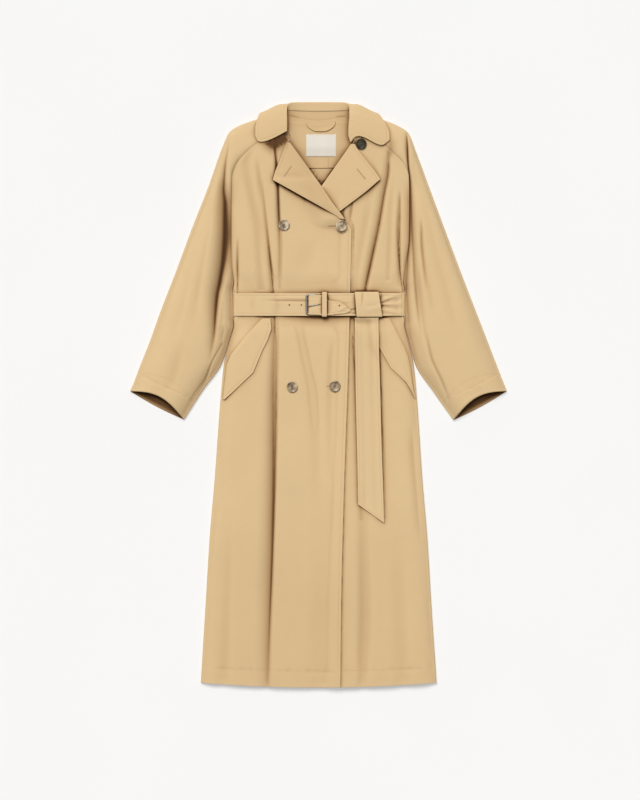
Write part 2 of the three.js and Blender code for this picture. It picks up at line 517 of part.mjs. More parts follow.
// Collar. Stations run round the neck from its left front end to its right one. At each, n is
// on the neck seam, s on the seam between stand and fall, r at the turn (its middle height), a
// the way in which the turn opens, and p, m and e lie on the fall out to its edge. The fall
// lies on the shoulders in front and passes under the back behind the neck.
const collarStations = [
  { n: [-84, 545, 17.9], s: [-76, 549, 17.9], r: [-65.5, 552.5, 20], a: [-1, -0.1, 0],
    p: [-80, 547.5, 22], m: [-102, 540, 21.6], e: [-128, 533, 20.8] },
  { n: [-90, 553, 17.7], s: [-77, 560, 17.9], r: [-65.5, 563, 20], a: [-1, -0.1, 0],
    p: [-80, 559, 22], m: [-103, 552, 21.6], e: [-133, 545, 20.6] },
  { n: [-98, 562, 16.4], s: [-78, 573, 16.8], r: [-65.5, 577, 18.9], a: [-1, -0.15, 0],
    p: [-80, 573, 21], m: [-102, 568, 20.4], e: [-133, 558, 19] },
  { n: [-100, 571, 13.8], s: [-80, 582, 14.4], r: [-66, 590, 17], a: [-0.97, -0.25, -0.1],
    p: [-80, 587, 19.2], m: [-101, 581, 18.5], e: [-131, 570, 16.8] },
  { n: [-97, 579, 10.2], s: [-76, 590, 11.2], r: [-66, 601, 14.2], a: [-0.8, -0.45, -0.35],
    p: [-79, 600, 16.2], m: [-98, 595, 15.2], e: [-128, 582, 14] },
  { n: [-84, 584.8, 7.2], s: [-69, 595, 8.2], r: [-64.5, 609.5, 10.8], a: [-0.4, -0.72, -0.55],
    p: [-78, 610.5, 10.6], m: [-94, 605.5, 9.4], e: [-122, 592.5, 7.4] },
  { n: [-68, 587, 5.4], s: [-58, 597, 6.2], r: [-57, 614, 7.2], a: [-0.1, -0.88, -0.42],
    p: [-69, 609, 3], m: [-86, 598, 0.7], e: [-110, 586, 0.2] },
  { n: [-48, 582.3, 4.3], s: [-45, 596.5, 4.5], r: [-45, 615.1, 4], a: [0, -0.98, -0.15],
    p: [-50, 604, 0.1], m: [-62, 582, 0], e: [-85, 556, 0] },
  { n: [-24, 576.9, 4.2], s: [-23, 595.8, 4.2], r: [-24, 615.4, 2.2], a: [0, -1, 0],
    p: [-26, 603, 0], m: [-32, 578, 0], e: [-44, 546, 0] },
  { n: [0, 574.8, 4.2], s: [0, 595.4, 4.2], r: [0, 615.5, 2.1], a: [0, -1, 0],
    p: [0, 603, 0], m: [0, 578, 0], e: [0, 541, 0] },
  { n: [24, 576.9, 4.2], s: [23, 595.8, 4.2], r: [24, 615.4, 2.2], a: [0, -1, 0],
    p: [26, 603, 0], m: [32, 578, 0], e: [44, 546, 0] },
  { n: [48, 582.3, 4.3], s: [45, 596.5, 4.5], r: [45, 615.1, 4], a: [0, -0.98, -0.15],
    p: [50, 604, 0.1], m: [62, 582, 0], e: [85, 556, 0] },
  { n: [68, 587, 5.4], s: [58, 597, 6.2], r: [57, 614, 7.2], a: [0.1, -0.88, -0.42],
    p: [69, 609, 3], m: [86, 598, 0.7], e: [110, 586, 0.2] },
  { n: [85, 584.8, 7.2], s: [69, 595, 8.4], r: [63.5, 608.5, 11.5], a: [0.45, -0.7, -0.5],
    p: [78, 610.5, 11.2], m: [95, 605, 10.2], e: [123, 592, 8.4] },
  { n: [98, 579, 10.2], s: [77, 589, 11.6], r: [64.5, 598, 15], a: [0.85, -0.4, -0.3],
    p: [79, 598, 17], m: [101, 592, 16.2], e: [136, 578, 15] },
  { n: [101, 571, 13.8], s: [80, 580, 15], r: [64.5, 583, 18.2], a: [1, -0.15, 0],
    p: [80, 584, 20.6], m: [106, 577, 19.8], e: [144, 563, 18] },
  { n: [99, 562, 16.6], s: [79, 566, 17.4], r: [63, 565, 20], a: [1, 0.05, 0],
    p: [80, 568, 22.2], m: [108, 562, 21.6], e: [149, 549, 20] },
  { n: [92, 553, 18.2], s: [78, 552, 18.6], r: [62.5, 547, 20.8], a: [0.97, 0.25, 0],
    p: [82, 555, 23], m: [108, 547, 22.6], e: [149.5, 536, 21.2] },
  { n: [86, 543, 18.6], s: [78, 539, 18.6], r: [66.5, 529.5, 20.8], a: [0.93, 0.35, 0],
    p: [82, 542, 23], m: [108, 533.5, 22.6], e: [139, 526, 21.6] },
];
const vector = (point) => new THREE.Vector3(...point);
function collarSections() {
  return collarStations.map((station, i) => {
    const before = collarStations[Math.max(i - 1, 0)];
    const after = collarStations[Math.min(i + 1, collarStations.length - 1)];
    const along = vector(after.r).sub(vector(before.r)).normalize();
    const opening = vector(station.a).normalize();
    const over = along.clone().cross(opening).normalize();
    const middle = vector(station.r).addScaledVector(opening, collarTurn);
    const turn = turnAngles.map((degrees) => {
      const a = THREE.MathUtils.degToRad(degrees);
      return middle.clone()
        .addScaledVector(opening, collarTurn * Math.cos(a))
        .addScaledVector(over, collarTurn * Math.sin(a));
    });
    const [s, p, m, e] = ['s', 'p', 'm', 'e'].map((key) => vector(station[key]));
    const fall = [s, ...turn, p, m, m.clone().lerp(e, 0.5), e];
    const towards = vector(station.n).sub(s).normalize();
    const halfway = vector(station.n).lerp(s, 0.5);
    const stand = [vector(station.n), halfway, s.clone().addScaledVector(towards, 2.4)];
    return { fall, stand };
  });
}
// Gives a grid of outer points its inner points, one cloth away along the surface's normal.
function thicken(points, thickness) {
  const at = (i, j) => points[clamp(i, 0, points.length - 1)][clamp(j, 0, points[0].length - 1)];
  return points.map((row, i) => row.map((point, j) => {
    const along = at(i + 1, j).clone().sub(at(i - 1, j));
    const across = at(i, j + 1).clone().sub(at(i, j - 1));
    const normal = along.cross(across).normalize();
    const inner = point.clone().addScaledVector(normal, -thickness);
    return { outer: point.toArray(), inner: inner.toArray() };
  }));
}
const sections = collarSections();
add('collar_fall', wallGeometry(thicken(sections.map(({ fall }) => fall), collarCloth)), 'cloth');
add('collar_stand', wallGeometry(thicken(sections.map(({ stand }) => stand), collarCloth)), 'cloth');

// A flat piece laid on other cloths: rows of places, each with the height of what is below.
function laidSheet(grids, rows, thickness, { reach = 8, lift = () => 0, across = 4, low = -Infinity } = {}) {
  return rows.map(([x0, y0, x1, y1], i) => steps(across).map((share) => {
    const [x, y] = [mix(x0, x1, share), mix(y0, y1, share)];
    const below = Math.max(restOn(grids, x, y, reach), low);
    const z = below + layerGap + thickness + lift(share, i / (rows.length - 1));
    return { outer: [x, y, z], inner: [x, y, z - thickness] };
  }));
}

// Pocket flaps: from the seam to the pointed outer edge, row by row.
add('pocket_flap_left', wallGeometry(laidSheet([overFront], [
  [-119, 160, -101, 160], [-132, 146, -99, 137], [-150, 126, -107, 114], [-168, 104, -119, 90],
  [-184, 84, -128, 68], [-193, 62, -137, 46], [-196, 38, -157, 27], [-199, 12, -180, 5],
  [-201, -9, -198, -11],
], flapCloth, { reach: 13 })), 'cloth');
const flapRight = laidSheet([underFront], [
  [118, 160, 150, 160], [121, 132, 165, 130], [124, 106, 178, 104], [137, 83, 188, 80],
  [152, 56, 194, 52], [184, 26, 198, 22], [195, 8, 201, 5], [202, -7, 204, -8],
], flapCloth, { reach: 17 });
add('pocket_flap_right', wallGeometry(flapRight), 'cloth');

// Belt: one flattened ring round the waist, over the fronts and under the back.
const beltFrontXs = [
  -166, -150, -130, -112, -100, -90, -75, -55, -35, -15, 5, 25, 45, 62, 75, 90, 105, 120, 134, 146,
  158, 168,
];
const beltYs = [beltLow, beltLow + 12, beltMiddle, beltHigh - 12, beltHigh];
const beltRound = 7.2;
const beltSide = { left: -172.4, right: 175.4 };
const beltTop = (x) => Math.max(
  ...beltYs.map((y) => restOn([overFront, underFront], x, y, 9)),
  2 * beltRound - beltCloth - layerGap,
) + layerGap + beltCloth;
const beltSection = [
  ...[-90, -120, -150, 180, 150, 120, 90].map((degrees) => {
    const a = THREE.MathUtils.degToRad(degrees);
    const at = (radius) => [beltSide.left + radius * Math.cos(a), beltRound + radius * Math.sin(a)];
    return { outer: at(beltRound), inner: at(beltRound - beltCloth) };
  }),
  ...beltFrontXs.map((x) => {
    const z = beltTop(x);
    return { outer: [x, z], inner: [x, z - beltCloth] };
  }),
  ...[90, 60, 30, 0, -30, -60, -90].map((degrees) => {
    const a = THREE.MathUtils.degToRad(degrees);
    const at = (radius) => [beltSide.right + radius * Math.cos(a), beltRound + radius * Math.sin(a)];
    return { outer: at(beltRound), inner: at(beltRound - beltCloth) };
  }),
  ...[90, 0, -90].map((x) => ({ outer: [x, 0], inner: [x, beltCloth] })),
];
const belt = [beltLow, beltMiddle, beltHigh].map((y) => beltSection.map(({ outer, inner }) => ({
  outer: [outer[0], y, outer[1]],
  inner: [inner[0], y, inner[1]],
})));
add('belt', wallGeometry(belt, true), 'cloth');
const beltFront = belt.map((row) => row.slice(6, 6 + beltFrontXs.length + 2));

// Buckle: a rectangular frame of wire, with its prong, at the start of the strap's end.
const buckle = { left: -25, right: -3, low: 169, high: 209, wire: 1.5 };
const buckleZ = restOn([beltFront], (buckle.left + buckle.right) / 2, beltMiddle, 14) + 0.4 + buckle.wire;
function wireRing(corners, radius, z) {
  const ring = [];
  corners.forEach(([x, y], i) => {
    const before = corners[(i + 3) % 4];
    const after = corners[(i + 1) % 4];
    const inX = Math.sign(before[0] + after[0] - 2 * x);
    const inY = Math.sign(before[1] + after[1] - 2 * y);
    for (const degrees of steps(6).slice(0, 6).map((share) => 360 * share + 30)) {
      const a = THREE.MathUtils.degToRad(degrees);
      ring.push([x - inX * radius * Math.cos(a), y - inY * radius * Math.cos(a), z + radius * Math.sin(a)]);
    }
  });
  return ring;
}
function ringGeometry(ring, around, corners) {
  const index = [];
  for (let i = 0; i < corners; i += 1) {
    for (let j = 0; j < around; j += 1) {
      const [a, b] = [i * around + j, ((i + 1) % corners) * around + j];
      const [c, d] = [((i + 1) % corners) * around + ((j + 1) % around), i * around + ((j + 1) % around)];
      index.push(a, b, c, a, c, d);
    }
  }
  const geometry = new THREE.BufferGeometry();
  geometry.setAttribute('position', new THREE.Float32BufferAttribute(ring.flat(), 3));
  geometry.setIndex(index);
  if (signedVolume(geometry) < 0) geometry.setIndex(index.reverse());
  return geometry;
}
const buckleCorners = [
  [buckle.left, buckle.low], [buckle.right, buckle.low],
  [buckle.right, buckle.high], [buckle.left, buckle.high],
];
add('buckle_frame', ringGeometry(wireRing(buckleCorners, buckle.wire, buckleZ), 6, 4), 'metal');

// The strap's pointed end comes up through the buckle and lies on the belt.
const strapRows = [-20.5, -14, -8, -2, 4, 9, 16, 24, 34, 44, 54, 64];
const strapZ = (x) => Math.max(
  buckleZ + buckle.wire + layerGap + beltCloth - 4 * smooth(3, 12, x) - 2.4 * smooth(-15, -20.5, x),
  Math.max(...[170, 189, 208].map((y) => restOn([beltFront], x, y, 6))) + layerGap + beltCloth,
);
const strapEnd = [...strapRows, 73].map((x, i) => {
  const point = x === 73;
  const low = point ? 185 : 167 + 4 * smooth(40, 64, x);
  const high = point ? 190 : 211 - 6 * smooth(44, 70, x);
  const inside = x < -1 ? 2.8 : 0;
  return steps(3).map((share) => {
    const y = mix(low + 1.5 * inside, high - 1.5 * inside, share);
    const z = strapZ(x);
    return { outer: [x, y, z], inner: [x, y, z - beltCloth] };
  });
});
add('belt_end', wallGeometry(strapEnd), 'cloth');

// A band that stands over the belt: a flat top with a short side going down past each belt edge.
function bandGeometry(rows, thickness, top, foot) {
  return wallGeometry(rows.map(([x0, x1]) => {
    const [low, high] = [beltLow - 0.6, beltHigh + 0.6];
    const mid = (low + high) / 2;
    const section = [
      [low - thickness, foot, low, foot],
      [low - thickness, top - 2.2, low, top - 2.2],
      [low - thickness + 0.7, top - 0.6, low + 0.3, top - thickness - 0.4],
      [low + 1.4, top, low + 1.8, top - thickness],
      [mid, top + 0.8, mid, top + 0.8 - thickness],
      [high - 1.4, top, high - 1.8, top - thickness],
      [high + thickness - 0.7, top - 0.6, high - 0.3, top - thickness - 0.4],
      [high + thickness, top - 2.2, high, top - 2.2],
      [high + thickness, foot, high, foot],
    ];
    return section.map(([y, z, yIn, zIn]) => {
      const x = (at) => mix(x0, x1, (at - low) / (high - low));
      return { outer: [x(y), y, z], inner: [x(yIn), yIn, zIn] };
    });
  }));
}
const bandYs = [beltLow - 2, beltHigh + 2];
const bandFoot = (x) => Math.max(...bandYs.map((y) => restOn([overFront, underFront], x, y, 9))) + layerGap;
const keeper = { from: 7.5, to: 17.5 };
const keeperTop = Math.max(...[keeper.from, 12, keeper.to].map(strapZ)) + layerGap + flapCloth;
add('belt_keeper', bandGeometry([[keeper.from, keeper.from], [keeper.to, keeper.to]], flapCloth, keeperTop,
  Math.max(bandFoot(keeper.from), bandFoot(keeper.to))), 'cloth');

// The knot: the long end wrapped once round the belt, before it hangs down as the tail.
const knotCloth = 2;
const knotXs = beltFrontXs.filter((x) => x > 70 && x < 140);
const knotTop = Math.max(...knotXs.map(beltTop)) + layerGap + knotCloth + 2;
add('belt_knot', bandGeometry([[81, 77], [92, 88], [106, 102], [120, 114], [134, 125]], knotCloth, knotTop,
  Math.max(...[78, 100, 120, 134].map(bandFoot))), 'cloth');

const tailRows = [
  [76, 161, 126, 161], [76.5, 130, 126.5, 130], [77, 96, 127, 95], [77.5, 50, 128.5, 48], [78, 0, 130, -4],
  [79.5, -60, 131.5, -68], [81, -120, 133.5, -135], [82.3, -180, 136, -205], [83, -231, 138, -270],
];
const tail = laidSheet([underFront, flapRight], tailRows, beltCloth, { reach: 10, across: 5 });
add('belt_tail', wallGeometry(tail), 'cloth');

// Prong of the buckle, a round wire that lies on the strap.
function tubeGeometry(points, radius, around, count, taper = 1) {
  const path = new THREE.CatmullRomCurve3(points.map(vector));
  const frames = path.computeFrenetFrames(count, false);
  const positions = [];
  const index = [];
  for (let i = 0; i <= count; i += 1) {
    const centre = path.getPointAt(i / count);
    const r = radius * mix(taper, 1, i / count);
    for (let j = 0; j < around; j += 1) {
      const a = (2 * Math.PI * j) / around;
      const point = centre.clone()
        .addScaledVector(frames.normals[i], r * Math.cos(a))
        .addScaledVector(frames.binormals[i], r * Math.sin(a));
      positions.push(...point.toArray());
    }
  }
  for (let i = 0; i < count; i += 1) {
    for (let j = 0; j < around; j += 1) {
      const [a, b] = [i * around + j, i * around + ((j + 1) % around)];
      index.push(a, b, b + around, a, b + around, a + around);
    }
  }
  for (let j = 1; j < around - 1; j += 1) {
    index.push(0, j + 1, j);
    const last = count * around;
    index.push(last, last + j, last + j + 1);
  }
  const geometry = new THREE.BufferGeometry();
  geometry.setAttribute('position', new THREE.Float32BufferAttribute(positions, 3));
  geometry.setIndex(index);
  if (signedVolume(geometry) < 0) geometry.setIndex(index.reverse());
  return geometry;
}
const prongRadius = 1;
const prongZ = (x) => {
  const strap = [-3, 0, 3].map((d) => strapZ(clamp(x + d, -20.5, 73)));
  return Math.max(buckleZ + buckle.wire, ...strap) + 0.4 + prongRadius;
};
add('buckle_prong', tubeGeometry([-24.5, -19, -12, -5, 3].map((x, i) => [x, mix(184, 190, i / 4), prongZ(x)]),
  prongRadius, 8, 8, 0.7), 'metal');

// Inside the back neck: a facing, the blank label and the hanger loop.
const backFloor = back.map((row) => row.slice(3, -3).map(({ inner }) => ({ outer: inner })));
const facing = [0, 0.06, 0.2, 0.4, 0.6, 0.8, 1].map((down) => steps(10).map((share) => {
  const x = mix(-78, 78, share);
  const y = mix(584 - neckDip(x), 476 + 6 * (x / 78) ** 2, down);
  const z = restOn([backFloor], x, Math.min(y, 570), 6) + 0.4 + facingCloth;
  return { outer: [x, y, z], inner: [x, y, z - facingCloth] };
}));
add('back_neck_facing', wallGeometry(facing), 'lining');
const label = { left: -26, right: 37, low: 501, high: 547, cloth: 0.8 };
const labelCentre = [(label.left + label.right) / 2, (label.low + label.high) / 2];
const labelZ = restOn([facing], ...labelCentre, 20) + 0.4 + label.cloth;
add('label', wallGeometry([label.low, label.high].map((y) => [label.left, label.right].map((x) => (
  { outer: [x, y, labelZ], inner: [x, y, labelZ - label.cloth] }
)))), 'label');
const loopZ = restOn([facing], 5, 555, 14) + 0.5 + loopDiameter / 2;
const loopPlaces = [
  [-26, 573], [-24, 566], [-17, 560], [-4, 554.5], [12, 554.5], [26, 560], [33, 567], [35, 574],
];
const loopPath = loopPlaces.map(([x, y]) => [x, y, loopZ]);
add('hanger_loop', tubeGeometry(loopPath, loopDiameter / 2, 8, 18), 'lining');

// Buttons: a rim round a sunk middle, turned on their axis.
const buttonRadius = buttonDiameter / 2;
function addButton(name, grids, x, y, radius, thickness = 3.4) {
  const profile = [
    [0, 0], [radius - 1.4, 0], [radius, 1], [radius, thickness - 1.1], [radius - 1, thickness],
    [radius - 2.4, thickness], [radius - 4, thickness - 1], [0, thickness - 1],
  ].map(([r, z]) => new THREE.Vector2(r, z));
  const geometry = new THREE.LatheGeometry(profile, 20);
  geometry.rotateX(Math.PI / 2);
  geometry.translate(x, y, restOn(grids, x, y, radius) + 0.5);
  const bare = new THREE.BufferGeometry();
  bare.setAttribute('position', geometry.getAttribute('position'));
  bare.setIndex(geometry.index);
  const flat = mergeVertices(bare, 1e-4);
  const kept = [];
  const { array } = flat.index;
  for (let k = 0; k < array.length; k += 3) {
    const [a, b, c] = array.slice(k, k + 3);
    if (a !== b && b !== c && a !== c) kept.push(a, b, c);
  }
  flat.setIndex(kept);
  if (signedVolume(flat) < 0) flat.setIndex(kept.reverse());
  add(name, flat, 'horn');
}
addButton('button_upper_left', [overFront], -71, 356, buttonRadius);
addButton('button_upper_right', [overFront], 47, 354, buttonRadius);
addButton('button_lower_left', [overFront], -57, 16, buttonRadius);
addButton('button_lower_right', [overFront], 33, 17, buttonRadius);
addButton('button_throat', [underFront], 92.5, 527, 10.5, 2.4);

export default coat;
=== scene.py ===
# %% [markdown]
# A long belted trench coat lies flat on its back on a pale floor, and the camera looks
# straight down at it. The coat is cloth, so nearly every piece here is a thin wall worked out
# from a function of two parameters: one runs along the panel and one runs across it. The packed
# CAD model gives the frame, and every visible piece stands for one of its nodes.

# %% Load the frame
import math

import bpy
import numpy as np
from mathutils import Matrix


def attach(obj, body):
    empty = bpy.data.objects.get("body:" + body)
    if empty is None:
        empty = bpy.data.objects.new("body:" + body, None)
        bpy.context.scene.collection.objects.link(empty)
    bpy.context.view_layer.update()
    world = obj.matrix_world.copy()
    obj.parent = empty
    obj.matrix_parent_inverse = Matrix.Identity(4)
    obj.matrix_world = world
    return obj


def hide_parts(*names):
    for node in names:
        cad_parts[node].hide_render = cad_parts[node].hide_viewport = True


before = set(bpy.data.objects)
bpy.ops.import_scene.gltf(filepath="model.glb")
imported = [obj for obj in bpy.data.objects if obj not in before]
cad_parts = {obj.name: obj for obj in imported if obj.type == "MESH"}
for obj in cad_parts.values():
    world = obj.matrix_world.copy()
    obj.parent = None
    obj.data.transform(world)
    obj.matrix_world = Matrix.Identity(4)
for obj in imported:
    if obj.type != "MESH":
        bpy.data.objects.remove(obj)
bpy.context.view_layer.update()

# %% [markdown]
# All shapes are worked out in millimetres, because a tailor's sizes are easy to read that way,
# and become metres when a mesh is made. These are the sizes that the panels share. They are the
# sizes of the CAD model, so each visible piece lies where its solid is.

# %% Shared sizes, in millimetres
CLOTH = 1.5
LAYER_GAP = 0.6
SEAM_GAP = 0.35
FOLD_RADIUS = 4.5
BODY_HEIGHT = 17.0
BELT_HEIGHT = 12.5
RAGLAN_HEIGHT = 16.0
BELT_LOW, BELT_HIGH = 165.0, 213.0
BELT_MIDDLE = (BELT_LOW + BELT_HIGH) / 2
BELT_CLOTH = 1.8
COLLAR_CLOTH = 1.6
COLLAR_TURN = 2.1
FACING_CLOTH, LABEL_CLOTH = 1.0, 0.7
KEEPER_CLOTH, KNOT_CLOTH = 1.5, 1.9
TOPSTITCH, BELT_STITCH, STRAP_STITCH = 6.0, 5.0, 4.5
HEM_TURN_UP, CUFF_TURN_UP = 35.0, 42.0
UNDERARM = 250.0
HEM_MIDDLE, HEM_RISE = -615.5, 10.0

# %% [markdown]
# A pattern cutter draws a seam as a smooth curve through a few measured points. The helper does
# the same: a cubic between each two points, with slopes chosen so that the curve never swings
# past its points.

# %% Curves through measured points
def through(points):
    """Curve through (place, value) points: a cubic between each two. Its slope at a point is
    the harmonic mean of the slopes on both sides, or 0 at a turn, so it can't overshoot."""
    table = np.array(sorted(points), dtype=float)
    x, y = table[:, 0], table[:, 1]
    slope = np.diff(y) / np.diff(x)
    before, after = slope[:-1], slope[1:]
    total = np.where(before + after == 0, 1, before + after)
    inside = np.where(before * after > 0, 2 * before * after / total, 0)
    tangent = np.concatenate([[slope[0]], inside, [slope[-1]]])

    def value(place):
        place = np.clip(np.asarray(place, dtype=float), x[0], x[-1])
        i = np.clip(np.searchsorted(x, place, side="right") - 1, 0, len(x) - 2)
        h = x[i + 1] - x[i]
        t = (place - x[i]) / h
        return ((1 + 2 * t) * (1 - t) ** 2 * y[i] + t * (1 - t) ** 2 * h * tangent[i]
                + t * t * (3 - 2 * t) * y[i + 1] + t * t * (t - 1) * h * tangent[i + 1])
    return value


def ease(low, high, value):
    """0 below low and 1 above high, with a smooth S between them (3 t^2 - 2 t^3)."""
    t = np.clip((np.asarray(value, dtype=float) - low) / (high - low), 0, 1)
    return t * t * (3 - 2 * t)


def blend(a, b, share):
    """The value that lies the given share of the way from a to b."""
    return a + (b - a) * share


print("ease at a quarter:", float(ease(0, 1, 0.25)))

# %% [markdown]
# The outline of the laid coat comes first: its two side seams, which become the raglan seams
# above the underarm, and the two front edges. The wearer's right front laps over the left one,
# so one edge shows from lapel to hem and the other is hidden under it.

# %% Outline of the body
SIDES = (  # y, left seam, right seam
    (549, -108, 110), (531, -128, 133), (510, -152, 156), (485, -173, 180), (458, -182, 190),
    (413, -183, 191), (324, -183, 190), (270, -182, 183), (222, -177, 178), (158, -176, 179),
    (114, -187, 189), (66, -199, 200), (-3, -206, 207), (-180, -219, 219), (-297, -229, 229),
    (-444, -238, 238), (-606, -248, 249),
)
left_seam = through([(y, left) for y, left, right in SIDES])
right_seam = through([(y, right) for y, left, right in SIDES])
over_edge = through([
    (545, -71), (531, -61), (488, -30), (442, 3), (402, 30), (364, 58), (343, 69), (278, 68),
    (72, 63), (-222, 53), (-432, 48), (-616, 46),
])
under_edge = through([
    (545, 81), (527, 69), (484, 39), (443, 10), (408, -14), (370, -42), (330, -78), (278, -88),
    (66, -84), (-616, -69),
])
back_half = through([(586, 98), (584, 100), (560, 122), (530, 141), (495, 163), (458, 182)])


def side_roll(y):
    """How far round the side is folded: hardly at the armhole, fully below the underarm."""
    return blend(0.15, 1.0, ease(UNDERARM + 15, UNDERARM - 25, y))


def under_belt(y):
    """1 where the belt's back part lies under the back panel, 0 away from it."""
    return ease(66, 30, np.abs(y - BELT_MIDDLE))


def seam_height(y):
    """Height of the side seam: a valley beside the arm, level with the body at the raglan."""
    lifted = (BELT_CLOTH + LAYER_GAP) * under_belt(y)
    return blend(2 * FOLD_RADIUS, RAGLAN_HEIGHT, ease(400, 462, y)) + lifted


def collar_lift(y):
    """The back is lifted at the neck by the collar that lies under it."""
    return (COLLAR_CLOTH + 0.8) * ease(500, 528, y)


print("width under the arms, mm:", float(right_seam(270) - left_seam(270)))

# %% [markdown]
# Cloth that lies loose gathers in folds. Each fold here is a trough or a ridge with a spine: a
# short table gives, from top to bottom, where it runs, how wide it is to either side and how
# deep it is. A soft fold is a smooth bell across its spine. Where cloth overlaps itself it
# forms a crease: a long slope that gets steeper towards the spine, and a short steep side.

# %% Folds
FOLD_COLUMNS = ("y", "x", "left", "right", "depth")
BODY_CREASES = (
    ((536, -90, 10, 5, 0), (505, -89, 10, 5, -4), (470, -87, 10, 5, -8), (442, -85, 10, 5, -10),
     (377, -83, 12, 6, -9), (314, -79, 15, 8, -5), (219, -81, 15, 9, -4)),
    ((452, -119, 26, 6, 0), (408, -114.5, 25, 5, -3), (324, -105, 23, 4.5, -6.5), (278, -100, 21, 4.5, -9),
     (240, -95, 19, 4.5, -10), (211, -94, 16, 4.5, -9)),
    ((520, 148, 12, 8, 0), (495, 147.5, 17, 8, -5), (473, 147, 19, 8, -8), (420, 138, 22, 9, -9),
     (350, 126, 22, 9, -10), (288, 113, 22, 9, -11), (240, 103, 18, 8, -11), (211, 97.5, 14, 6, -9)),
    ((430, 171, 8, 7, 0), (398, 171, 11, 7, -5), (324, 170, 12, 7, -7), (228, 173, 10, 6, -6)),
    ((168, -85, 20, 6, -8), (120, -86.5, 26, 6, -9), (-11, -88, 34, 6, -12), (-180, -92, 36, 6.5, -12),
     (-347, -97, 36, 7, -10), (-515, -104, 34, 9, -6.5), (-622, -108, 30, 12, -4)),
    ((335, -171, 8, 8, 0), (290, -171, 9, 6, -5), (225, -170, 8, 5, -8), (211, -170, 7, 5, -7)),
    ((412, 72, 9, 5, 0), (385, 69, 11, 5, -4), (352, 64, 9, 5, 0)),
)
BODY_FOLDS = (
    ((520, -140, 12, 15, 0), (482, -152, 16, 16, -2), (345, -127, 16, 16, -3.5), (219, -119, 14, 14, -3)),
    ((500, -131, 9, 9, 0), (450, -124, 9, 9, -2.4), (395, -117, 9, 9, 0)),
    ((462, 155, 10, 10, 0), (400, 152, 10, 12, -2), (240, 146, 10, 10, -2)),
    ((420, 110, 16, 14, 0), (350, 98, 16, 14, -2.2), (260, 84, 14, 12, -1.6), (215, 80, 12, 12, 0)),
    ((165, -45, 14, 14, -3), (72, -26, 18, 15, -3.5), (-1, -11.5, 20, 17, -3.5), (-116, -5, 22, 20, -2),
     (-260, -3, 24, 22, 0)),
    ((120, 30, 10, 10, 0), (60, 24, 10, 10, -1.4), (-60, 22, 14, 12, -1.2), (-200, 20, 14, 14, 0)),
    ((-180, 91, 16, 22, 0), (-331, 93.5, 18, 24, -4), (-452, 95.6, 18, 26, -5.5), (-578, 91.4, 16, 24, -4),
     (-622, 91, 14, 24, -3)),
    ((-60, 196, 14, 12, 0), (-120, 200, 16, 12, -3), (-221, 208, 16, 10, -3), (-320, 214, 14, 10, 0)),
    ((-250, 0, 30, 30, 0), (-400, 6, 34, 34, -2), (-622, 2, 36, 30, -2.6)),
    ((-200, -190, 22, 20, 0), (-400, -196, 26, 22, -2.8), (-622, -200, 26, 22, -3.4)),
    ((-300, 165, 24, 24, 0), (-450, 170, 26, 26, -2.2), (-622, 178, 26, 26, -3)),
    ((160, 138, 10, 10, -2), (120, 141, 12, 12, -1.5), (60, 146, 12, 12, 0)),
    ((330, -20, 30, 26, 0), (280, -28, 34, 28, -1.4), (225, -40, 26, 24, 0)),
)


def folds_depth(folds, x, y, crease=False):
    """Sum of the folds at each place: depth times (1 - t^2)^2, where t is the distance across
    from the spine over the fold's half-width on that side, and 0 past its ends. A crease is
    steepest at its spine: depth times (1 - |t|)^2."""
    total = np.zeros(np.broadcast(x, y).shape)
    for fold in folds:
        rows = [dict(zip(FOLD_COLUMNS, row)) for row in fold]
        line, left, right, depth = (through([(row["y"], row[key]) for row in rows])
                                    for key in FOLD_COLUMNS[1:])
        away = x - line(y)
        t = np.clip(np.abs(away) / np.where(away < 0, left(y), right(y)), 0, 1)
        inside = (y <= rows[0]["y"]) & (y >= rows[-1]["y"])
        total = total + np.where(inside, depth(y) * (1 - t if crease else 1 - t * t) ** 2, 0)
    return total


def slack(x, y, size=1.0):
    """Slow unevenness of pressed cloth: five long waves that cross each other."""
    waves = ((0.011, 0.031, 0.4, 0.30), (0.024, -0.013, 1.9, 0.22), (-0.019, 0.022, 4.1, 0.20),
             (0.043, 0.017, 2.6, 0.10), (-0.037, 0.041, 5.2, 0.08))
    return size * sum(high * np.sin(a * x + b * y + shift) for a, b, shift, high in waves)


def body_top(x, y):
    """Height of the body's outer face. It climbs from the side seam to a level top with a
    curve that is steep first, is drawn down under the belt, and carries the folds."""
    from_seam = np.minimum(x - left_seam(y), right_seam(y) - x)
    inside = np.maximum(from_seam - side_roll(y) * FOLD_RADIUS, 0)
    drawn = ease(70, 24, np.abs(y - BELT_MIDDLE))
    edge = seam_height(y)
    top = np.logaddexp(blend(BODY_HEIGHT, BELT_HEIGHT, drawn), edge)
    climb = 1 - (1 - np.clip(inside / 38, 0, 1)) ** 2.6
    folds = folds_depth(BODY_FOLDS, x, y) + folds_depth(BODY_CREASES, x, y, crease=True)
    loose = folds * (1 - 0.5 * drawn) + slack(x, y, 1.4) * (1 - drawn)
    z = blend(edge, top, climb) + loose * ease(0, 14, inside)
    lowest = 2 * CLOTH + 2.8 + 2.6 * drawn
    return lowest + np.logaddexp(0, (z - lowest) * 2.5) / 2.5


print("height at the chest, mm:", float(body_top(0.0, 300.0)))

# %% [markdown]
# Every panel becomes a wall: a grid of points for its outer face, the same grid one cloth
# deeper for its inner face, and a strip round the border. A sewn edge is never sharp, so where
# a border is free the two faces draw together in a half round. The UV map holds real lengths
# in metres, so that a weave has the same size on every piece.

# %% From a grid of points to a wall of cloth
DOWN = (0.0, 0.0, -1.0)
FREE = ("left", "right", "top", "bottom")
coat_pieces = []


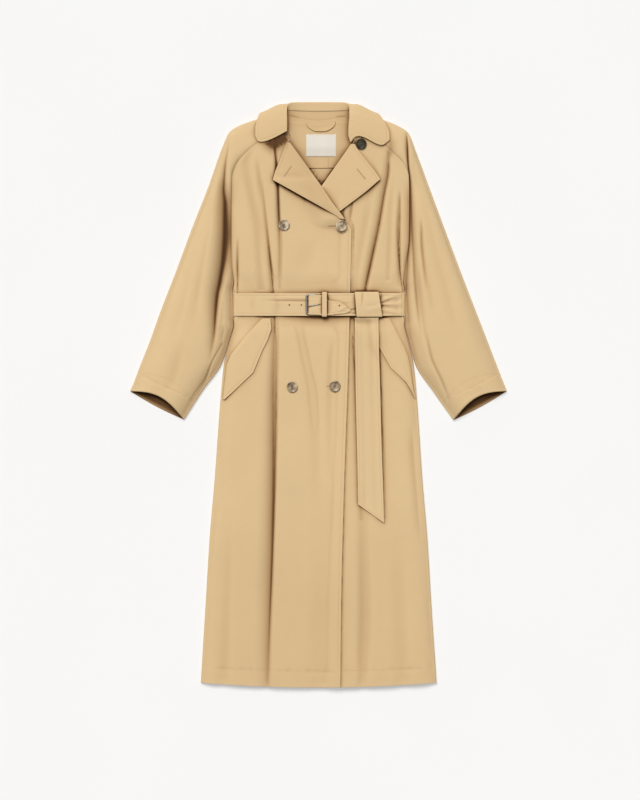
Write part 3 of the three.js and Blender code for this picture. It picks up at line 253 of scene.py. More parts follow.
def facing_out(points, quads):
    """Faces that all point outwards: the volume that they enclose is a sum over triangles of
    a . (b x c) / 6, and where it is negative every face is turned round."""
    a, b, c, d = (points[quads[:, k]] for k in range(4))
    volume = (np.cross(b, c) * a).sum() + (np.cross(c, d) * a).sum()
    return quads if volume > 0 else quads[:, ::-1]


def keep_piece(name, mesh, material):
    """Gives a smooth mesh its material and links it at the origin, as one of the coat's pieces."""
    mesh.polygons.foreach_set("use_smooth", np.ones(len(mesh.polygons), dtype=bool))
    mesh.update()
    mesh.materials.append(material)
    piece = bpy.data.objects.new(name, mesh)
    bpy.context.scene.collection.objects.link(piece)
    coat_pieces.append(piece)
    return piece


def to_mesh(name, points, quads, uvs, material):
    """Makes a piece from points in mm, faces as index rows and UVs in mm."""
    mesh = bpy.data.meshes.new(name)
    quads = np.ascontiguousarray(facing_out(np.asarray(points), np.asarray(quads, dtype=np.int32)))
    mesh.vertices.add(len(points))
    mesh.vertices.foreach_set("co", (np.asarray(points, dtype=np.float32) / 1000).ravel())
    mesh.loops.add(quads.size)
    mesh.loops.foreach_set("vertex_index", quads.ravel())
    mesh.polygons.add(len(quads))
    mesh.polygons.foreach_set("loop_start", np.arange(0, quads.size, 4, dtype=np.int32))
    layer = mesh.uv_layers.new(name="UVMap")
    layer.data.foreach_set("uv", (np.asarray(uvs, dtype=np.float32)[quads.ravel()] / 1000).ravel())
    mesh.update()
    mesh.validate()
    return keep_piece(name, mesh, material)


def grid_of(x, y, z):
    """Points of a grid from its three coordinates, each spread over the whole grid."""
    return np.stack(np.broadcast_arrays(x, y, z), axis=2)


def grid_faces(rows, cols, rows_close=False, cols_close=False):
    """Corners a, b, c, d of each cell of a grid: a to b lies along a row, a to d down a column.
    A grid that closes on itself also has cells from its last line to its first."""
    i, j = np.meshgrid(np.arange(rows if rows_close else rows - 1),
                       np.arange(cols if cols_close else cols - 1), indexing="ij")
    below, beside = (i + 1) % rows * cols, (j + 1) % cols
    return np.stack([i * cols + j, i * cols + beside, below + beside, below + j], 2).reshape(-1, 4)


def lengths_along(points, axis):
    """Running length over the grid along one axis, from 0 at its first line."""
    step = np.linalg.norm(np.diff(points, axis=axis), axis=2)
    start = np.zeros_like(np.take(step, [0], axis=axis))
    return np.concatenate([start, np.cumsum(step, axis=axis)], axis=axis)


def face_normals(points):
    """Unit normals of a grid: the cross product of its two directions of travel."""
    normal = np.cross(np.gradient(points, axis=0), np.gradient(points, axis=1))
    return normal / np.maximum(np.linalg.norm(normal, axis=2, keepdims=True), 1e-9)


def wall(name, outer, inward, thickness, material, free=(), ring=False):
    """Closed wall between a grid and its copy moved by thickness along inward. free names the
    borders (top, bottom, left, right) whose edge is rounded: within half a cloth of the edge
    both faces close in on the middle by a circle, sqrt(1 - (1 - d / r)^2)."""
    rows, cols = outer.shape[:2]
    inward = np.broadcast_to(np.asarray(inward, dtype=float), outer.shape)
    middle = outer + inward * thickness / 2
    r = thickness / 2
    down, across = lengths_along(middle, 0), lengths_along(middle, 1)
    away = {"top": down, "bottom": down[-1:] - down, "left": across, "right": across[:, -1:] - across}
    close = np.ones((rows, cols))
    for side in free:
        circle = 1 - (1 - np.clip(away[side] / r, 0, 1)) ** 2
        close = np.minimum(close, np.sqrt(np.clip(circle, 0.02, 1)))
    half = inward * (close * r)[:, :, None]
    faces = np.concatenate([(middle - half).reshape(-1, 3), (middle + half).reshape(-1, 3)])
    mean_down = np.broadcast_to(down.mean(axis=1, keepdims=True), across.shape)
    uv = np.stack([across, mean_down], axis=2).reshape(-1, 2)
    cells = grid_faces(rows, cols, cols_close=ring)
    n = rows * cols
    sheets = [cells[:, [0, 3, 2, 1]], cells + n]
    j = np.arange(cols if ring else cols - 1)
    first, last = j, (rows - 1) * cols + j
    first_next, last_next = (j + 1) % cols, (rows - 1) * cols + (j + 1) % cols
    sheets += [np.stack([first, first_next, first_next + n, first + n], 1),
               np.stack([last, last + n, last_next + n, last_next], 1)]
    if not ring:
        i = np.arange(rows - 1) * cols
        right = i + cols - 1
        sheets += [np.stack([i, i + n, i + n + cols, i + cols], 1),
                   np.stack([right, right + cols, right + n + cols, right + n], 1)]
    return to_mesh(name, faces, np.concatenate(sheets), np.concatenate([uv, uv]), material)


def close_steps(count, length, thickness, start=True, end=True):
    """Shares from 0 to 1: even ones, and close ones near a free edge for its half round."""
    near = np.array([0, 0.07, 0.3, 0.65, 1.0]) * thickness / 2 / length
    low, high = (near[-1] if start else 0), (near[-1] if end else 0)
    middle = np.linspace(low, 1 - high, count)
    parts = ([near[:-1]] if start else []) + [middle] + ([1 - near[:-1][::-1]] if end else [])
    return np.concatenate(parts)


print("steps next to a free edge:", close_steps(5, 100, 2).round(4)[:6])

# %% [markdown]
# The coat is laid up in layers, and each layer rests on what is below it. A height map of the
# pile, one cell to the millimetre, keeps the highest cloth so far. A new layer reads it after
# it is widened and smoothed, as a cloth that bridges small steps, and is then added to it.

# %% The pile of cloth so far
PILE_X, PILE_Y = (-420, 420), (-640, 640)
pile = np.full((PILE_Y[1] - PILE_Y[0] + 1, PILE_X[1] - PILE_X[0] + 1), 0.0)


def add_to_pile(points):
    """Marks every millimetre that the grid covers with its height, from points close enough
    together that none is missed."""
    for axis in (0, 1):
        step = np.linalg.norm(np.diff(points, axis=axis), axis=2).max()
        parts = max(int(math.ceil(step / 0.7)), 1)
        count = points.shape[axis]
        where = np.linspace(0, count - 1, (count - 1) * parts + 1)
        low = np.minimum(where.astype(int), count - 2)
        share = (where - low).reshape((-1, 1, 1) if axis == 0 else (1, -1, 1))
        points = blend(np.take(points, low, axis), np.take(points, low + 1, axis), share)
    col = np.rint(points[..., 0] - PILE_X[0]).astype(int).ravel()
    row = np.rint(points[..., 1] - PILE_Y[0]).astype(int).ravel()
    np.maximum.at(pile, (row, col), points[..., 2].ravel())


def shifted(field, distance, axis):
    """The field moved along an axis, with its border value repeated."""
    index = np.clip(np.arange(field.shape[axis]) - distance, 0, field.shape[axis] - 1)
    return np.take(field, index, axis)


def bridged(reach):
    """The pile as a cloth bridges it: the highest value within reach, then averaged over it."""
    field = pile
    for axis in (0, 1):
        field = np.max([shifted(field, d, axis) for d in range(-reach, reach + 1)], axis=0)
    for _ in range(2):
        for axis in (0, 1):
            half = reach // 2
            field = np.mean([shifted(field, d, axis) for d in range(-half, half + 1)], axis=0)
    return field


def averaged(field, reach):
    """Mean of the pile over a square of twice the reach, from running sums along each axis."""
    for axis in (0, 1):
        grown = np.concatenate([np.repeat(np.take(field, [0], axis), reach + 1, axis), field,
                                np.repeat(np.take(field, [-1], axis), reach, axis)], axis)
        total = np.cumsum(grown, axis)
        count = field.shape[axis]
        low, high = np.arange(count), np.arange(count) + 2 * reach + 1
        field = (np.take(total, high, axis) - np.take(total, low, axis)) / (2 * reach + 1)
    return field


def read_map(field, x, y):
    """The map's value at any place, weighted between its four nearest cells."""
    col = np.clip(np.asarray(x, dtype=float) - PILE_X[0], 0, field.shape[1] - 1.001)
    row = np.clip(np.asarray(y, dtype=float) - PILE_Y[0], 0, field.shape[0] - 1.001)
    j, i = col.astype(int), row.astype(int)
    s, t = col - j, row - i
    return ((1 - t) * ((1 - s) * field[i, j] + s * field[i, j + 1])
            + t * ((1 - s) * field[i + 1, j] + s * field[i + 1, j + 1]))


print("pile cells:", pile.size)

# %% [markdown]
# Shader maths reads best as plain expressions, so one small class wraps a socket and adds the
# Math node for each operator. Colours and vectors have methods of their own.

# %% A socket that can be calculated with
class Socket:
    """A value or colour in a material's node tree, with the operators that pieces need."""

    def __init__(self, tree, link):
        self.tree, self.link = tree, link

    def node(self, kind, output=0, settings=(), **inputs):
        """Adds a node: settings are set first, then each input by name, a value or a link."""
        made = self.tree.nodes.new(kind)
        for key, value in dict(settings).items():
            setattr(made, key, value)
        for key, value in inputs.items():
            place = int(key[1:]) if key[0] == "i" and key[1:].isdigit() else key.replace("_", " ")
            if isinstance(value, Socket):
                self.tree.links.new(value.link, made.inputs[place])
            else:
                made.inputs[place].default_value = value
        return Socket(self.tree, made.outputs[output])

    def maths(self, operation, *values):
        inputs = {f"i{k}": v for k, v in enumerate(values)}
        return self.node("ShaderNodeMath", settings={"operation": operation}, **inputs)

    def __add__(self, other): return self.maths("ADD", self, other)
    def __sub__(self, other): return self.maths("SUBTRACT", self, other)
    def __mul__(self, other): return self.maths("MULTIPLY", self, other)
    def sine(self): return self.maths("SINE", self)
    def clamped(self): return self.maths("MAXIMUM", 0.0, self.maths("MINIMUM", 1.0, self))
    def between(self, low, high): return ((self - low) * (1 / (high - low))).clamped()

    def mixed(self, first, second):
        """A colour: first where this socket is 0 and second where it is 1."""
        made = self.tree.nodes.new("ShaderNodeMix")
        made.data_type = "RGBA"
        self.tree.links.new(self.link, made.inputs[0])
        for place, colour in ((6, first), (7, second)):
            if isinstance(colour, Socket):
                self.tree.links.new(colour.link, made.inputs[place])
            else:
                made.inputs[place].default_value = (*colour, 1.0)
        return Socket(self.tree, made.outputs[2])

    def part(self, name):
        """One part, X, Y or Z, of a vector."""
        return self.node("ShaderNodeSeparateXYZ", output=name, Vector=self)

    def noise(self, scale, detail=3.0, roughness=0.5):
        return self.node("ShaderNodeTexNoise", output="Fac", Vector=self, Scale=scale, Detail=detail,
                         Roughness=roughness)


def new_material(name, **constants):
    """A material with one Principled shader, whose constants are set on its own sockets."""
    material = bpy.data.materials.new(name)
    material.use_nodes = True
    tree = material.node_tree
    shader = tree.nodes["Principled BSDF"]
    for key, value in constants.items():
        shader.inputs[key.replace("_", " ")].default_value = value
    uv = Socket(tree, tree.nodes.new("ShaderNodeTexCoord").outputs["UV"])
    place = Socket(tree, uv.link.node.outputs["Object"])

    def feed(name, socket):
        tree.links.new(socket.link, shader.inputs[name])
    return material, uv, place, feed


# %% [markdown]
# Gabardine is a steep cotton twill: fine ribs about half a millimetre apart climb across the
# cloth, and threads of slightly different thickness run through it. The ribs go into a bump,
# and colour hardly changes: a slow mottle from pressing, and single threads a little lighter
# or darker. Sheen gives the soft bloom of brushed cotton at grazing angles. Deep in a fold the
# light has passed from cloth to cloth many times, which makes it dark and warm. That shade is
# painted into the base colour: a value measured later on each piece darkens the cloth there to
# a warm brown, and where it is deepest to near black.

# %% Gabardine and its relatives
# Painted shade: where shade is painted, the cloth's colour is multiplied by these tints, warm brown and near
# black.
PAINTED_SHADE_TINT = (0.38, 0.235, 0.115)
DEEP_PAINTED_SHADE_TINT = (0.085, 0.042, 0.015)


def gabardine(name, colour, rib=0.75, ribs_height=0.00009, roughness=0.82, mottle=0.05):
    """Twill in real lengths: ribs sin(2 pi (0.48 u + 0.88 v) / rib), with thread noise that is
    stretched along warp and weft."""
    material, uv, place, feed = new_material(
        name, Roughness=roughness, Sheen_Weight=0.12, Sheen_Roughness=0.5, Specular_IOR_Level=0.25)
    u, v = uv.part("X"), uv.part("Y")
    ribs = ((u * 0.48 + v * 0.88) * (2 * math.pi * 1000 / rib)).sine() * 0.5 + 0.5
    warp = uv.node("ShaderNodeMapping", Vector=uv, Scale=(2600.0, 130.0, 1.0)).noise(1.0, 2.0)
    weft = uv.node("ShaderNodeMapping", Vector=uv, Scale=(140.0, 2200.0, 1.0)).noise(1.0, 2.0)
    cloud = place.noise(5.5, 3.0)
    patches = place.noise(38.0, 3.0)
    dark = tuple(c * (1 - mottle * 1.6) for c in colour)
    light = tuple(min(c * (1 + mottle * 1.3), 1.0) for c in colour)
    shade = (cloud * 0.55 + patches * 0.25 + warp * 0.22 + weft * 0.18 + ribs * 0.10 - 0.15).clamped()
    # Painted shade: the value stored on each piece mixes the colour towards the warm brown, and above 0.66
    # towards near black.
    painted_shade = uv.node("ShaderNodeAttribute", output="Fac", settings={"attribute_name": "painted_shade"})
    half, deep = (tuple(c * d for c, d in zip(colour, tint)) for tint in (PAINTED_SHADE_TINT, DEEP_PAINTED_SHADE_TINT))
    feed("Base Color", painted_shade.between(0.66, 1.0).mixed(painted_shade.mixed(shade.mixed(dark, light), half), deep))
    relief = ribs * 0.6 + warp * 0.5 + weft * 0.4 + patches * 0.25
    bump = uv.node("ShaderNodeBump", output="Normal", Strength=0.55, Distance=ribs_height * 1.6,
                   Height=relief)
    feed("Normal", bump)
    feed("Roughness", shade * 0.1 + (roughness - 0.05))
    return material


COAT_COLOUR = (0.742, 0.540, 0.297)
coat_cloth = gabardine("coat_gabardine", COAT_COLOUR)
collar_cloth = gabardine("collar_gabardine", (0.735, 0.530, 0.290), mottle=0.04)
belt_cloth = gabardine("belt_gabardine", (0.752, 0.552, 0.308), mottle=0.045)
facing_cloth = gabardine("facing_gabardine", (0.700, 0.500, 0.268))
print("cloth materials:", coat_cloth.name, collar_cloth.name, belt_cloth.name, facing_cloth.name)

# %% [markdown]
# Sewing thread is a lustrous twisted polyester, a touch darker than the cloth. The neck label
# is satin; the soft vertical streaks of sheen that its floats give are painted into its colour.
# It carries no words.

# %% Thread and label satin
def sewing_thread(name, colour):
    """Twisted thread: fine diagonal bands across its own coordinates."""
    material, uv, place, feed = new_material(name, Roughness=0.55, Sheen_Weight=0.2)
    twist = (uv.part("X") * 5200 + uv.part("Y") * 9000).sine() * 0.5 + 0.5
    feed("Base Color", twist.mixed(tuple(c * 0.82 for c in colour), colour))
    return material


def label_satin(name, colour):
    """Satin: long warp floats, so its noise is stretched along the label; in the colour it is painted sheen.
    """
    material, uv, place, feed = new_material(name, Roughness=0.45, Sheen_Weight=0.1, Coat_Weight=0.08)
    floats = uv.node("ShaderNodeMapping", Vector=uv, Scale=(1500.0, 60.0, 1.0)).noise(1.0, 3.0)
    broad = uv.node("ShaderNodeMapping", Vector=uv, Scale=(45.0, 6.0, 1.0)).noise(1.0, 2.0)
    # Painted sheen: lighter and darker streaks along the label.
    shade = (floats * 0.35 + broad * 0.8 - 0.1).clamped()
    feed("Base Color", shade.mixed(tuple(c * 0.90 for c in colour), tuple(min(c * 1.06, 1) for c in colour)))
    feed("Normal", uv.node("ShaderNodeBump", output="Normal", Strength=0.3, Distance=0.00005, Height=floats))
    return material


coat_thread = sewing_thread("coat_thread", (0.60, 0.41, 0.21))
buttonhole_thread = sewing_thread("buttonhole_thread", (0.52, 0.34, 0.165))
# Dark thread for the buttons and the eyelets; it also fills the belt holes as painted shade.
dark_thread_and_hole_shade = sewing_thread("dark_button_thread_and_hole_shade", (0.16, 0.10, 0.05))
label_cloth = label_satin("label_satin", (0.80, 0.755, 0.66))

# %% [markdown]
# The buttons look like polished horn: brown with paler and darker streaks that run together.
# Two noises, one of them bent by the other, give the streaks. The buckle is dull grey metal
# with a fine brushed grain.

# %% Horn and buckle metal
def horn(name, dark, brown, pale, gloss=0.35):
    """Streaks from a noise whose place is pushed by a slower noise."""
    material, uv, place, feed = new_material(name, Roughness=0.22, Coat_Weight=gloss, Coat_Roughness=0.12,
                                             Specular_IOR_Level=gloss + 0.15)
    slow = place.noise(70.0, 2.0)
    bent = place.node("ShaderNodeVectorMath", settings={"operation": "ADD"}, i0=place,
                      i1=place.node("ShaderNodeCombineXYZ", X=slow * 0.03, Y=slow * 0.012, Z=0.0))
    streaks = place.node("ShaderNodeMapping", Vector=bent, Scale=(150.0, 60.0, 60.0)).noise(1.0, 4.0, 0.6)
    deep = streaks.between(0.34, 0.66).mixed(dark, brown)
    feed("Base Color", slow.between(0.45, 0.62).mixed(deep, pale))
    feed("Roughness", streaks * 0.18 + 0.16)
    return material


def buckle_metal(name):
    """Brushed plating: a noise stretched along the bars roughens it, and it has a little wear."""
    material, uv, place, feed = new_material(name, Metallic=0.9, Roughness=0.35)
    grain = place.node("ShaderNodeMapping", Vector=place, Scale=(1800.0, 90.0, 1800.0)).noise(1.0, 3.0)
    wear = place.noise(420.0, 3.0)
    feed("Roughness", grain * 0.25 + 0.24)
    feed("Base Color", wear.between(0.45, 0.7).mixed((0.26, 0.235, 0.215), (0.46, 0.43, 0.40)))
    feed("Normal", place.node("ShaderNodeBump", output="Normal", Strength=0.25, Distance=0.00004,
                              Height=grain))
    return material


button_horn = horn("button_horn", (0.12, 0.075, 0.040), (0.50, 0.375, 0.225), (0.70, 0.58, 0.40))
# The throat button's near-black horn is partly its own dark colour and partly painted shade from the collar
# leaf over it.
throat_horn_with_painted_shade = horn("throat_button_horn_painted_shade", (0.016, 0.013, 0.007), (0.038, 0.030, 0.015),
                   (0.060, 0.052, 0.028), gloss=0.05)
plated_metal = buckle_metal("buckle_metal")
print("hard materials:", button_horn.name, throat_horn_with_painted_shade.name, plated_metal.name)

# %% [markdown]
# A front panel starts in the round of its side seam and runs across to its free edge. Its
# rows slant a little, because the shoulder is higher than the gorge. The pairs below say which
# height at the side belongs to which height at the edge.

# %% Rows of a front panel
ROW_PAIRS = (  # y at the side, y at the free edge
    (549, 530), (531, 512), (510, 492), (485, 470), (458, 446), (436, 420), (407, 392), (378, 366),
    (350, 343), (322, 318), (292, 290), (265, 264), (243, 243), (60, 60), (-120, -120), (-289, -290),
    (-377, -380), (-455, -460), (-533, -540), (-606, -615.5),
)
edge_y = through(ROW_PAIRS)
SIDE_TOP, SIDE_HEM = 549.0, -606.0
HEM_SHARE = 0.985
row_shares = np.concatenate([
    np.linspace(0, HEM_SHARE, 290), close_steps(12, 18, CLOTH, start=False)[1:] * 0.015 + HEM_SHARE])
side_y = blend(SIDE_TOP, SIDE_HEM, row_shares)


def hem_y(x):
    """The hem is a shallow arc, highest at the side seams."""
    return HEM_MIDDLE + HEM_RISE * (x / 249) ** 2


def bump_at(value, at, width, high):
    """A bell, high * exp(-((value - at) / width)^2)."""
    return high * np.exp(-((value - at) / width) ** 2)


def seam_pull(distance, at, width=1.1, depth=0.35):
    """A line of stitching presses the cloth in: a narrow bell at a distance from the edge."""
    return bump_at(distance, at, width, -depth)


PUFF = 2.9


def puffed(y):
    """Above and below the belt, which draws it in, the cloth puffs out sideways."""
    away = np.abs(y - BELT_MIDDLE)
    return PUFF * ease(50, 30, away) * ease(24.5, 28.5, away)


def front_panel(side, free_edge, height, columns):
    """Grid of a front: a quarter round at the side seam, then heights over straight rows.
    Returns the outer points and the inward directions."""
    y = side_y[:, None]
    roll = side_roll(y) * FOLD_RADIUS
    seam = left_seam(y) + SEAM_GAP if side < 0 else right_seam(y) - SEAM_GAP
    outline = seam + side * puffed(y)
    angle = np.radians(np.linspace(0, 80, 7))[None, :]
    lean = math.pi / 2 - (math.pi / 2 - angle) * side_roll(y)
    arc_x = outline - side * roll * (1 - np.cos(angle))
    arc_z = height(outline - side * roll, y) - roll * (1 - np.sin(angle)) + 0.15
    arc = grid_of(arc_x, y, arc_z)
    arc_in = grid_of(-side * np.cos(lean), 0, -np.sin(lean))
    share = columns[None, :]
    edge = edge_y(y)
    x = blend(outline - side * roll, free_edge(edge), share)
    flat_y = blend(y, edge, share)
    neck = 15 * np.sin(math.pi * np.clip(share, 0, 1)) ** 0.6
    flat_y = flat_y + neck * ease(524, 549, y)
    flat_y = blend(flat_y, hem_y(x), ease(-560, -606, y))
    flat = grid_of(x, flat_y, height(x, flat_y) + 0.15)
    flat_in = np.broadcast_to(DOWN, flat.shape)
    return np.concatenate([arc, flat], axis=1), np.concatenate([arc_in, flat_in], axis=1)


def press_lines(points):
    """Presses the stitch lines of the free edge and of the turned hem into a front, with the
    small puckers that a hem stitch gives."""
    hem_at = HEM_TURN_UP
    across = lengths_along(points, 1)
    from_edge = across[:, -1:] - across
    down = lengths_along(points, 0)
    from_hem = down[-1:] - down
    z = seam_pull(from_edge, TOPSTITCH) + seam_pull(from_hem, hem_at, 1.4, 0.5)
    x = points[..., 0]
    pucker = np.sin(x / 4.3) * np.sin(x / 11.7 + 1) + 0.6 * np.sin(x / 7.1 + 2)
    z = z + 0.32 * pucker * np.exp(-((from_hem - hem_at) / 9) ** 2)
    z = z + 0.35 * ease(hem_at + 1, hem_at - 1, from_hem)
    return points + grid_of(0, 0, z)


print("rows in a front:", len(side_y))

# %% [markdown]
# The under front goes down first. Its hidden strip lies a little lower, under the other front.

# %% Under front
LAPEL_SET_BACK = 3.6


def under_height(x, y):
    """The body's height, sunk under the over front that lies on it."""
    drawn = ease(70, 24, np.abs(y - BELT_MIDDLE))
    sunk = blend(4.6, 2.4, drawn) * ease(over_edge(y) + 4, over_edge(y) - 20, x)
    return np.maximum(body_top(x, y) - sunk, 2 * CLOTH + 2.8 + 2.6 * drawn)


under_columns = close_steps(112, 300, CLOTH, start=False)
under_points, under_in = front_panel(
    1, lambda y: under_edge(y) + LAPEL_SET_BACK * ease(345, 352, y), under_height, under_columns)
under_points = press_lines(under_points)
front_under = wall("front_under_cloth", under_points, under_in, CLOTH, coat_cloth, free=("right", "bottom"))
add_to_pile(under_points)
print("under front:", under_points.shape, "highest", round(float(under_points[..., 2].max()), 1))

# %% [markdown]
# A lapel is the front's own cloth: it turns over at the roll line in a tight half circle and
# lies back on the front. Rows run from the turn to the lapel's edge, and a short table gives
# where the edge is for each place on the roll line.

# %% Lapels
def lapel(side, table, roll_line, reach, lift, thickness=CLOTH):
    """Grid of a lapel: half a circle at the roll, then a leaf that rests on the pile. The edge
    runs straight between the table's rows, so its corner stays sharp. lift(x, y) raises it."""
    place = np.arange(len(table))
    down = blend(0, len(table) - 1, close_steps(80, 170, thickness))
    roll, out_x, out_y = (np.interp(down, place, [row[k] for row in table])[:, None] for k in range(3))
    ground = bridged(reach)
    apex = roll_line(roll)
    level = read_map(ground, apex + side * 6, roll)
    turn = thickness + LAYER_GAP / 2
    angle = np.radians(np.linspace(-90, -270, 11))[None, :]
    wide = 2.6
    arc = grid_of(apex + side * wide * (1 + np.cos(angle)), roll,
                  level - thickness + turn + turn * np.sin(angle))
    arc_in = grid_of(-side * np.cos(angle) + 0 * roll, 0, -np.sin(angle))
    share = close_steps(54, 120, thickness, start=False)[None, 1:]
    x, y = blend(apex + side * wide, out_x, share), blend(roll, out_y, share)
    rest = read_map(ground, x, y) + LAYER_GAP + thickness
    near = ease(0.0, 0.18, share)
    after_turn = level + 2 * turn - thickness + 0 * x
    z = blend(after_turn, np.maximum(rest, after_turn), near) + lift(x, y) * near
    leaf = grid_of(x, y, z)
    leaf_in = np.broadcast_to(DOWN, leaf.shape)
    points = np.concatenate([arc, leaf], axis=1)
    inward = np.concatenate([arc_in, leaf_in], axis=1)
    across = lengths_along(points, 1)
    along = lengths_along(points, 0)
    edge = np.minimum(np.minimum(across[:, -1:] - across, along), along[-1:] - along)
    points[..., 2] += seam_pull(edge, TOPSTITCH) * ease(8, 14, across)
    return points, inward


def stands_up(x, y, corner, across, height):
    """How far a lapel's lower edge stands off the coat: height times (1 - d / 95)^1.8, where d
    is the distance from the edge, counted from the lapel's corner along a unit vector."""
    away = (x - corner[0]) * across[0] + (y - corner[1]) * across[1]
    return height * np.clip(1 - away / 95, 0, 1) ** 1.8


right_lapel_points, right_lapel_in = lapel(1, (
    (526, 76, 526), (512, 84, 512), (492, 99, 493), (470, 117, 471), (446, 130, 452), (425, 100, 426),
    (408, 75, 407), (392, 47, 386), (380, 14, 365),
), under_edge, 11, lambda x, y: stands_up(x, y, (130, 452), (-0.6, 0.8), 4.0) * ease(10, 55, x))
lapel_right = wall("lapel_right_cloth", right_lapel_points, right_lapel_in, CLOTH, collar_cloth,
                   free=("right", "top", "bottom"))
add_to_pile(right_lapel_points)
print("right lapel:", right_lapel_points.shape)

# %% [markdown]
# The over front rests on the under front and on the right lapel, so its height is the larger
# of the body's own height and of the pile below it.

# %% Over front
over_ground = bridged(14)


def over_height(x, y):
    """The body's height, or what lies below plus one cloth, whichever is higher."""
    inside = ease(0, 6, x - left_seam(y) - FOLD_RADIUS)
    below = read_map(over_ground, x, y) + CLOTH + LAYER_GAP
    return np.maximum(body_top(x, y), np.where(below > CLOTH + LAYER_GAP + 1, below, 0) * inside)


over_columns = close_steps(128, 300, CLOTH, start=False)
over_points, over_in = front_panel(
    -1, lambda y: over_edge(y) - LAPEL_SET_BACK * ease(355, 362, y), over_height, over_columns)
over_points = press_lines(over_points)
front_over = wall("front_over_cloth", over_points, over_in, CLOTH, coat_cloth, free=("right", "bottom"))
add_to_pile(over_points)

left_lapel_points, left_lapel_in = lapel(-1, (
    (529, -67, 529), (512, -75, 508), (492, -82, 490), (470, -91, 468), (450, -96, 450), (430, -60, 430),
    (410, -24.5, 410), (392, 7.5, 392), (376, 36, 376), (368, 46, 368.5),
), over_edge, 11, lambda x, y: stands_up(x, y, (-96, 450), (0.5, 0.867), 5.6) * ease(42, -5, x))
lapel_left = wall("lapel_left_cloth", left_lapel_points, left_lapel_in, CLOTH, collar_cloth,
                  free=("right", "top", "bottom"))
add_to_pile(left_lapel_points)
print("over front:", over_points.shape, "left lapel:", left_lapel_points.shape)

# %% [markdown]
# The back lies on the floor. Its sides turn up to meet the fronts, and it is lifted a little
# where the belt and the collar pass under it.

# %% Back
def back_panel():
    """Grid of the back: flat, with a quarter round at each side."""
    y = np.concatenate([np.linspace(586, -590, 200), np.linspace(-592, -606, 8)])[:, None]
    roll = side_roll(y) * FOLD_RADIUS
    half = back_half(y)
    left = np.where(y > 458, -half, left_seam(y)) + SEAM_GAP - puffed(y)
    right = np.where(y > 458, half + 8 * ease(584, 458, y), right_seam(y)) - SEAM_GAP + puffed(y)
    angle = np.radians(np.linspace(0, 80, 6))[None, :]
    lean = math.pi / 2 - (math.pi / 2 - angle) * side_roll(y)
    lift = (BELT_CLOTH + LAYER_GAP) * under_belt(y) + collar_lift(y)
    parts, inward = [], []
    for side, outline in ((-1, left), (1, right)):
        x = outline - side * roll * (1 - np.cos(angle))
        z = np.maximum(roll * (1 - np.sin(angle)) - 0.15 * np.cos(angle), 0) + lift
        points = grid_of(x, y, z)
        ways = grid_of(-side * np.cos(lean), 0, np.sin(lean))
        parts.append(points if side < 0 else points[:, ::-1])
        inward.append(ways if side < 0 else ways[:, ::-1])
    share = np.linspace(0, 1, 60)[None, 1:-1]
    x = blend(left + roll, right - roll, share)
    dip = 12 * (1 - np.clip(np.abs(x) / 75, 0, 1) ** 2) * ease(530, 586, y)
    flat_y = blend(y - dip, hem_y(x), ease(-560, -606, y))
    flat = grid_of(x, flat_y, lift)
    up = np.broadcast_to((0.0, 0.0, 1.0), flat.shape)
    return (np.concatenate([parts[0], flat, parts[1]], axis=1),
            np.concatenate([inward[0], up, inward[1]], axis=1))


back_points, back_in = back_panel()
back = wall("back_cloth", back_points, back_in, CLOTH, coat_cloth, free=("bottom",))
print("back:", back_points.shape)

# %% [markdown]
# A raglan sleeve runs up to the neck. It is cut as a front and a back, which meet along the
# overarm edge outside and the underarm edge inside. The table goes down the arm: the overarm
# point, the underarm point and how high the sleeve stands between them.

# %% Sleeves
SLEEVE_ROWS = {
    -1: ((-119, 582, -108, 549, 1), (-144, 574, -128, 531, 2), (-165, 566, -152, 510, 4),
         (-186, 553, -173, 485, 6),
         (-203, 518, -182, 458, 8), (-230, 442, -184, 387, 14), (-266, 350, -184, 314, 20),
         (-299, 261, -183, 236, 24),
         (-333, 173, -182, 165, 25), (-354, 114, -189, 112, 25), (-377, 56, -204, 64, 24),
         (-387, 29, -243, 9, 22),
         (-396.5, 7, -283, -53, 21)),
    1: ((123, 582, 110, 549, 1), (146, 574, 133, 531, 2), (167, 565, 156, 510, 4), (188, 551, 180, 485, 6),
        (205, 511, 191, 458, 8), (232, 438, 192, 387, 14), (268, 341, 191, 314, 20), (301, 253, 185, 236, 24),
        (335, 165, 185, 165, 25), (360, 100, 192, 108, 25), (379, 51, 204, 62, 24), (388, 28, 242, 5, 22),
        (396.5, 7, 284, -54, 21)),
}
SLEEVE_CREASES = {
    -1: (
        ((552, -186, 14, 6, 0), (520, -190, 18, 7, -3), (470, -197, 22, 8, -7), (430, -199, 26, 16, -11),
         (400, -196, 30, 30, -15), (345, -196, 33, 34, -19), (290, -199, 35, 34, -21),
         (240, -206, 35, 20, -20),
         (209, -212, 34, 14, -19), (168, -216, 30, 12, -15), (127, -219, 26, 11, -9), (94, -224, 20, 10, -4),
         (66, -228, 16, 10, 0)),
        ((66, -226, 14, 7, 0), (40, -234, 16, 7, -4), (8, -246, 16, 8, -4), (-20, -264, 12, 8, 0)),
        ((150, -196, 6, 5, 0), (128, -200, 7, 5, -2.5), (104, -206, 6, 5, 0)),
        ((112, -200, 4, 4, 0), (104, -204, 5, 4, -3), (68, -223, 5, 4, -3), (40, -234, 6, 4, -2.5),
         (0, -262, 6, 5, -2), (-46, -288, 5, 4, 0)),
    ),
    1: (
        ((556, 184, 12, 5, 0), (535, 186, 13, 5, -6), (485, 188, 13, 5, -8), (440, 193, 12, 8, -7),
         (330, 197, 12, 16, -10), (220, 204, 13, 17, -10), (120, 214, 13, 14, 0)),
        ((130, 226, 9, 8, 0), (80, 236, 9, 8, -4), (20, 262, 9, 8, -3.6), (-30, 280, 6, 8, 0)),
        ((380, 216, 8, 8, 0), (330, 216, 9, 8, -4), (270, 221, 9, 8, -3), (215, 228, 8, 8, 0)),
    ),
}
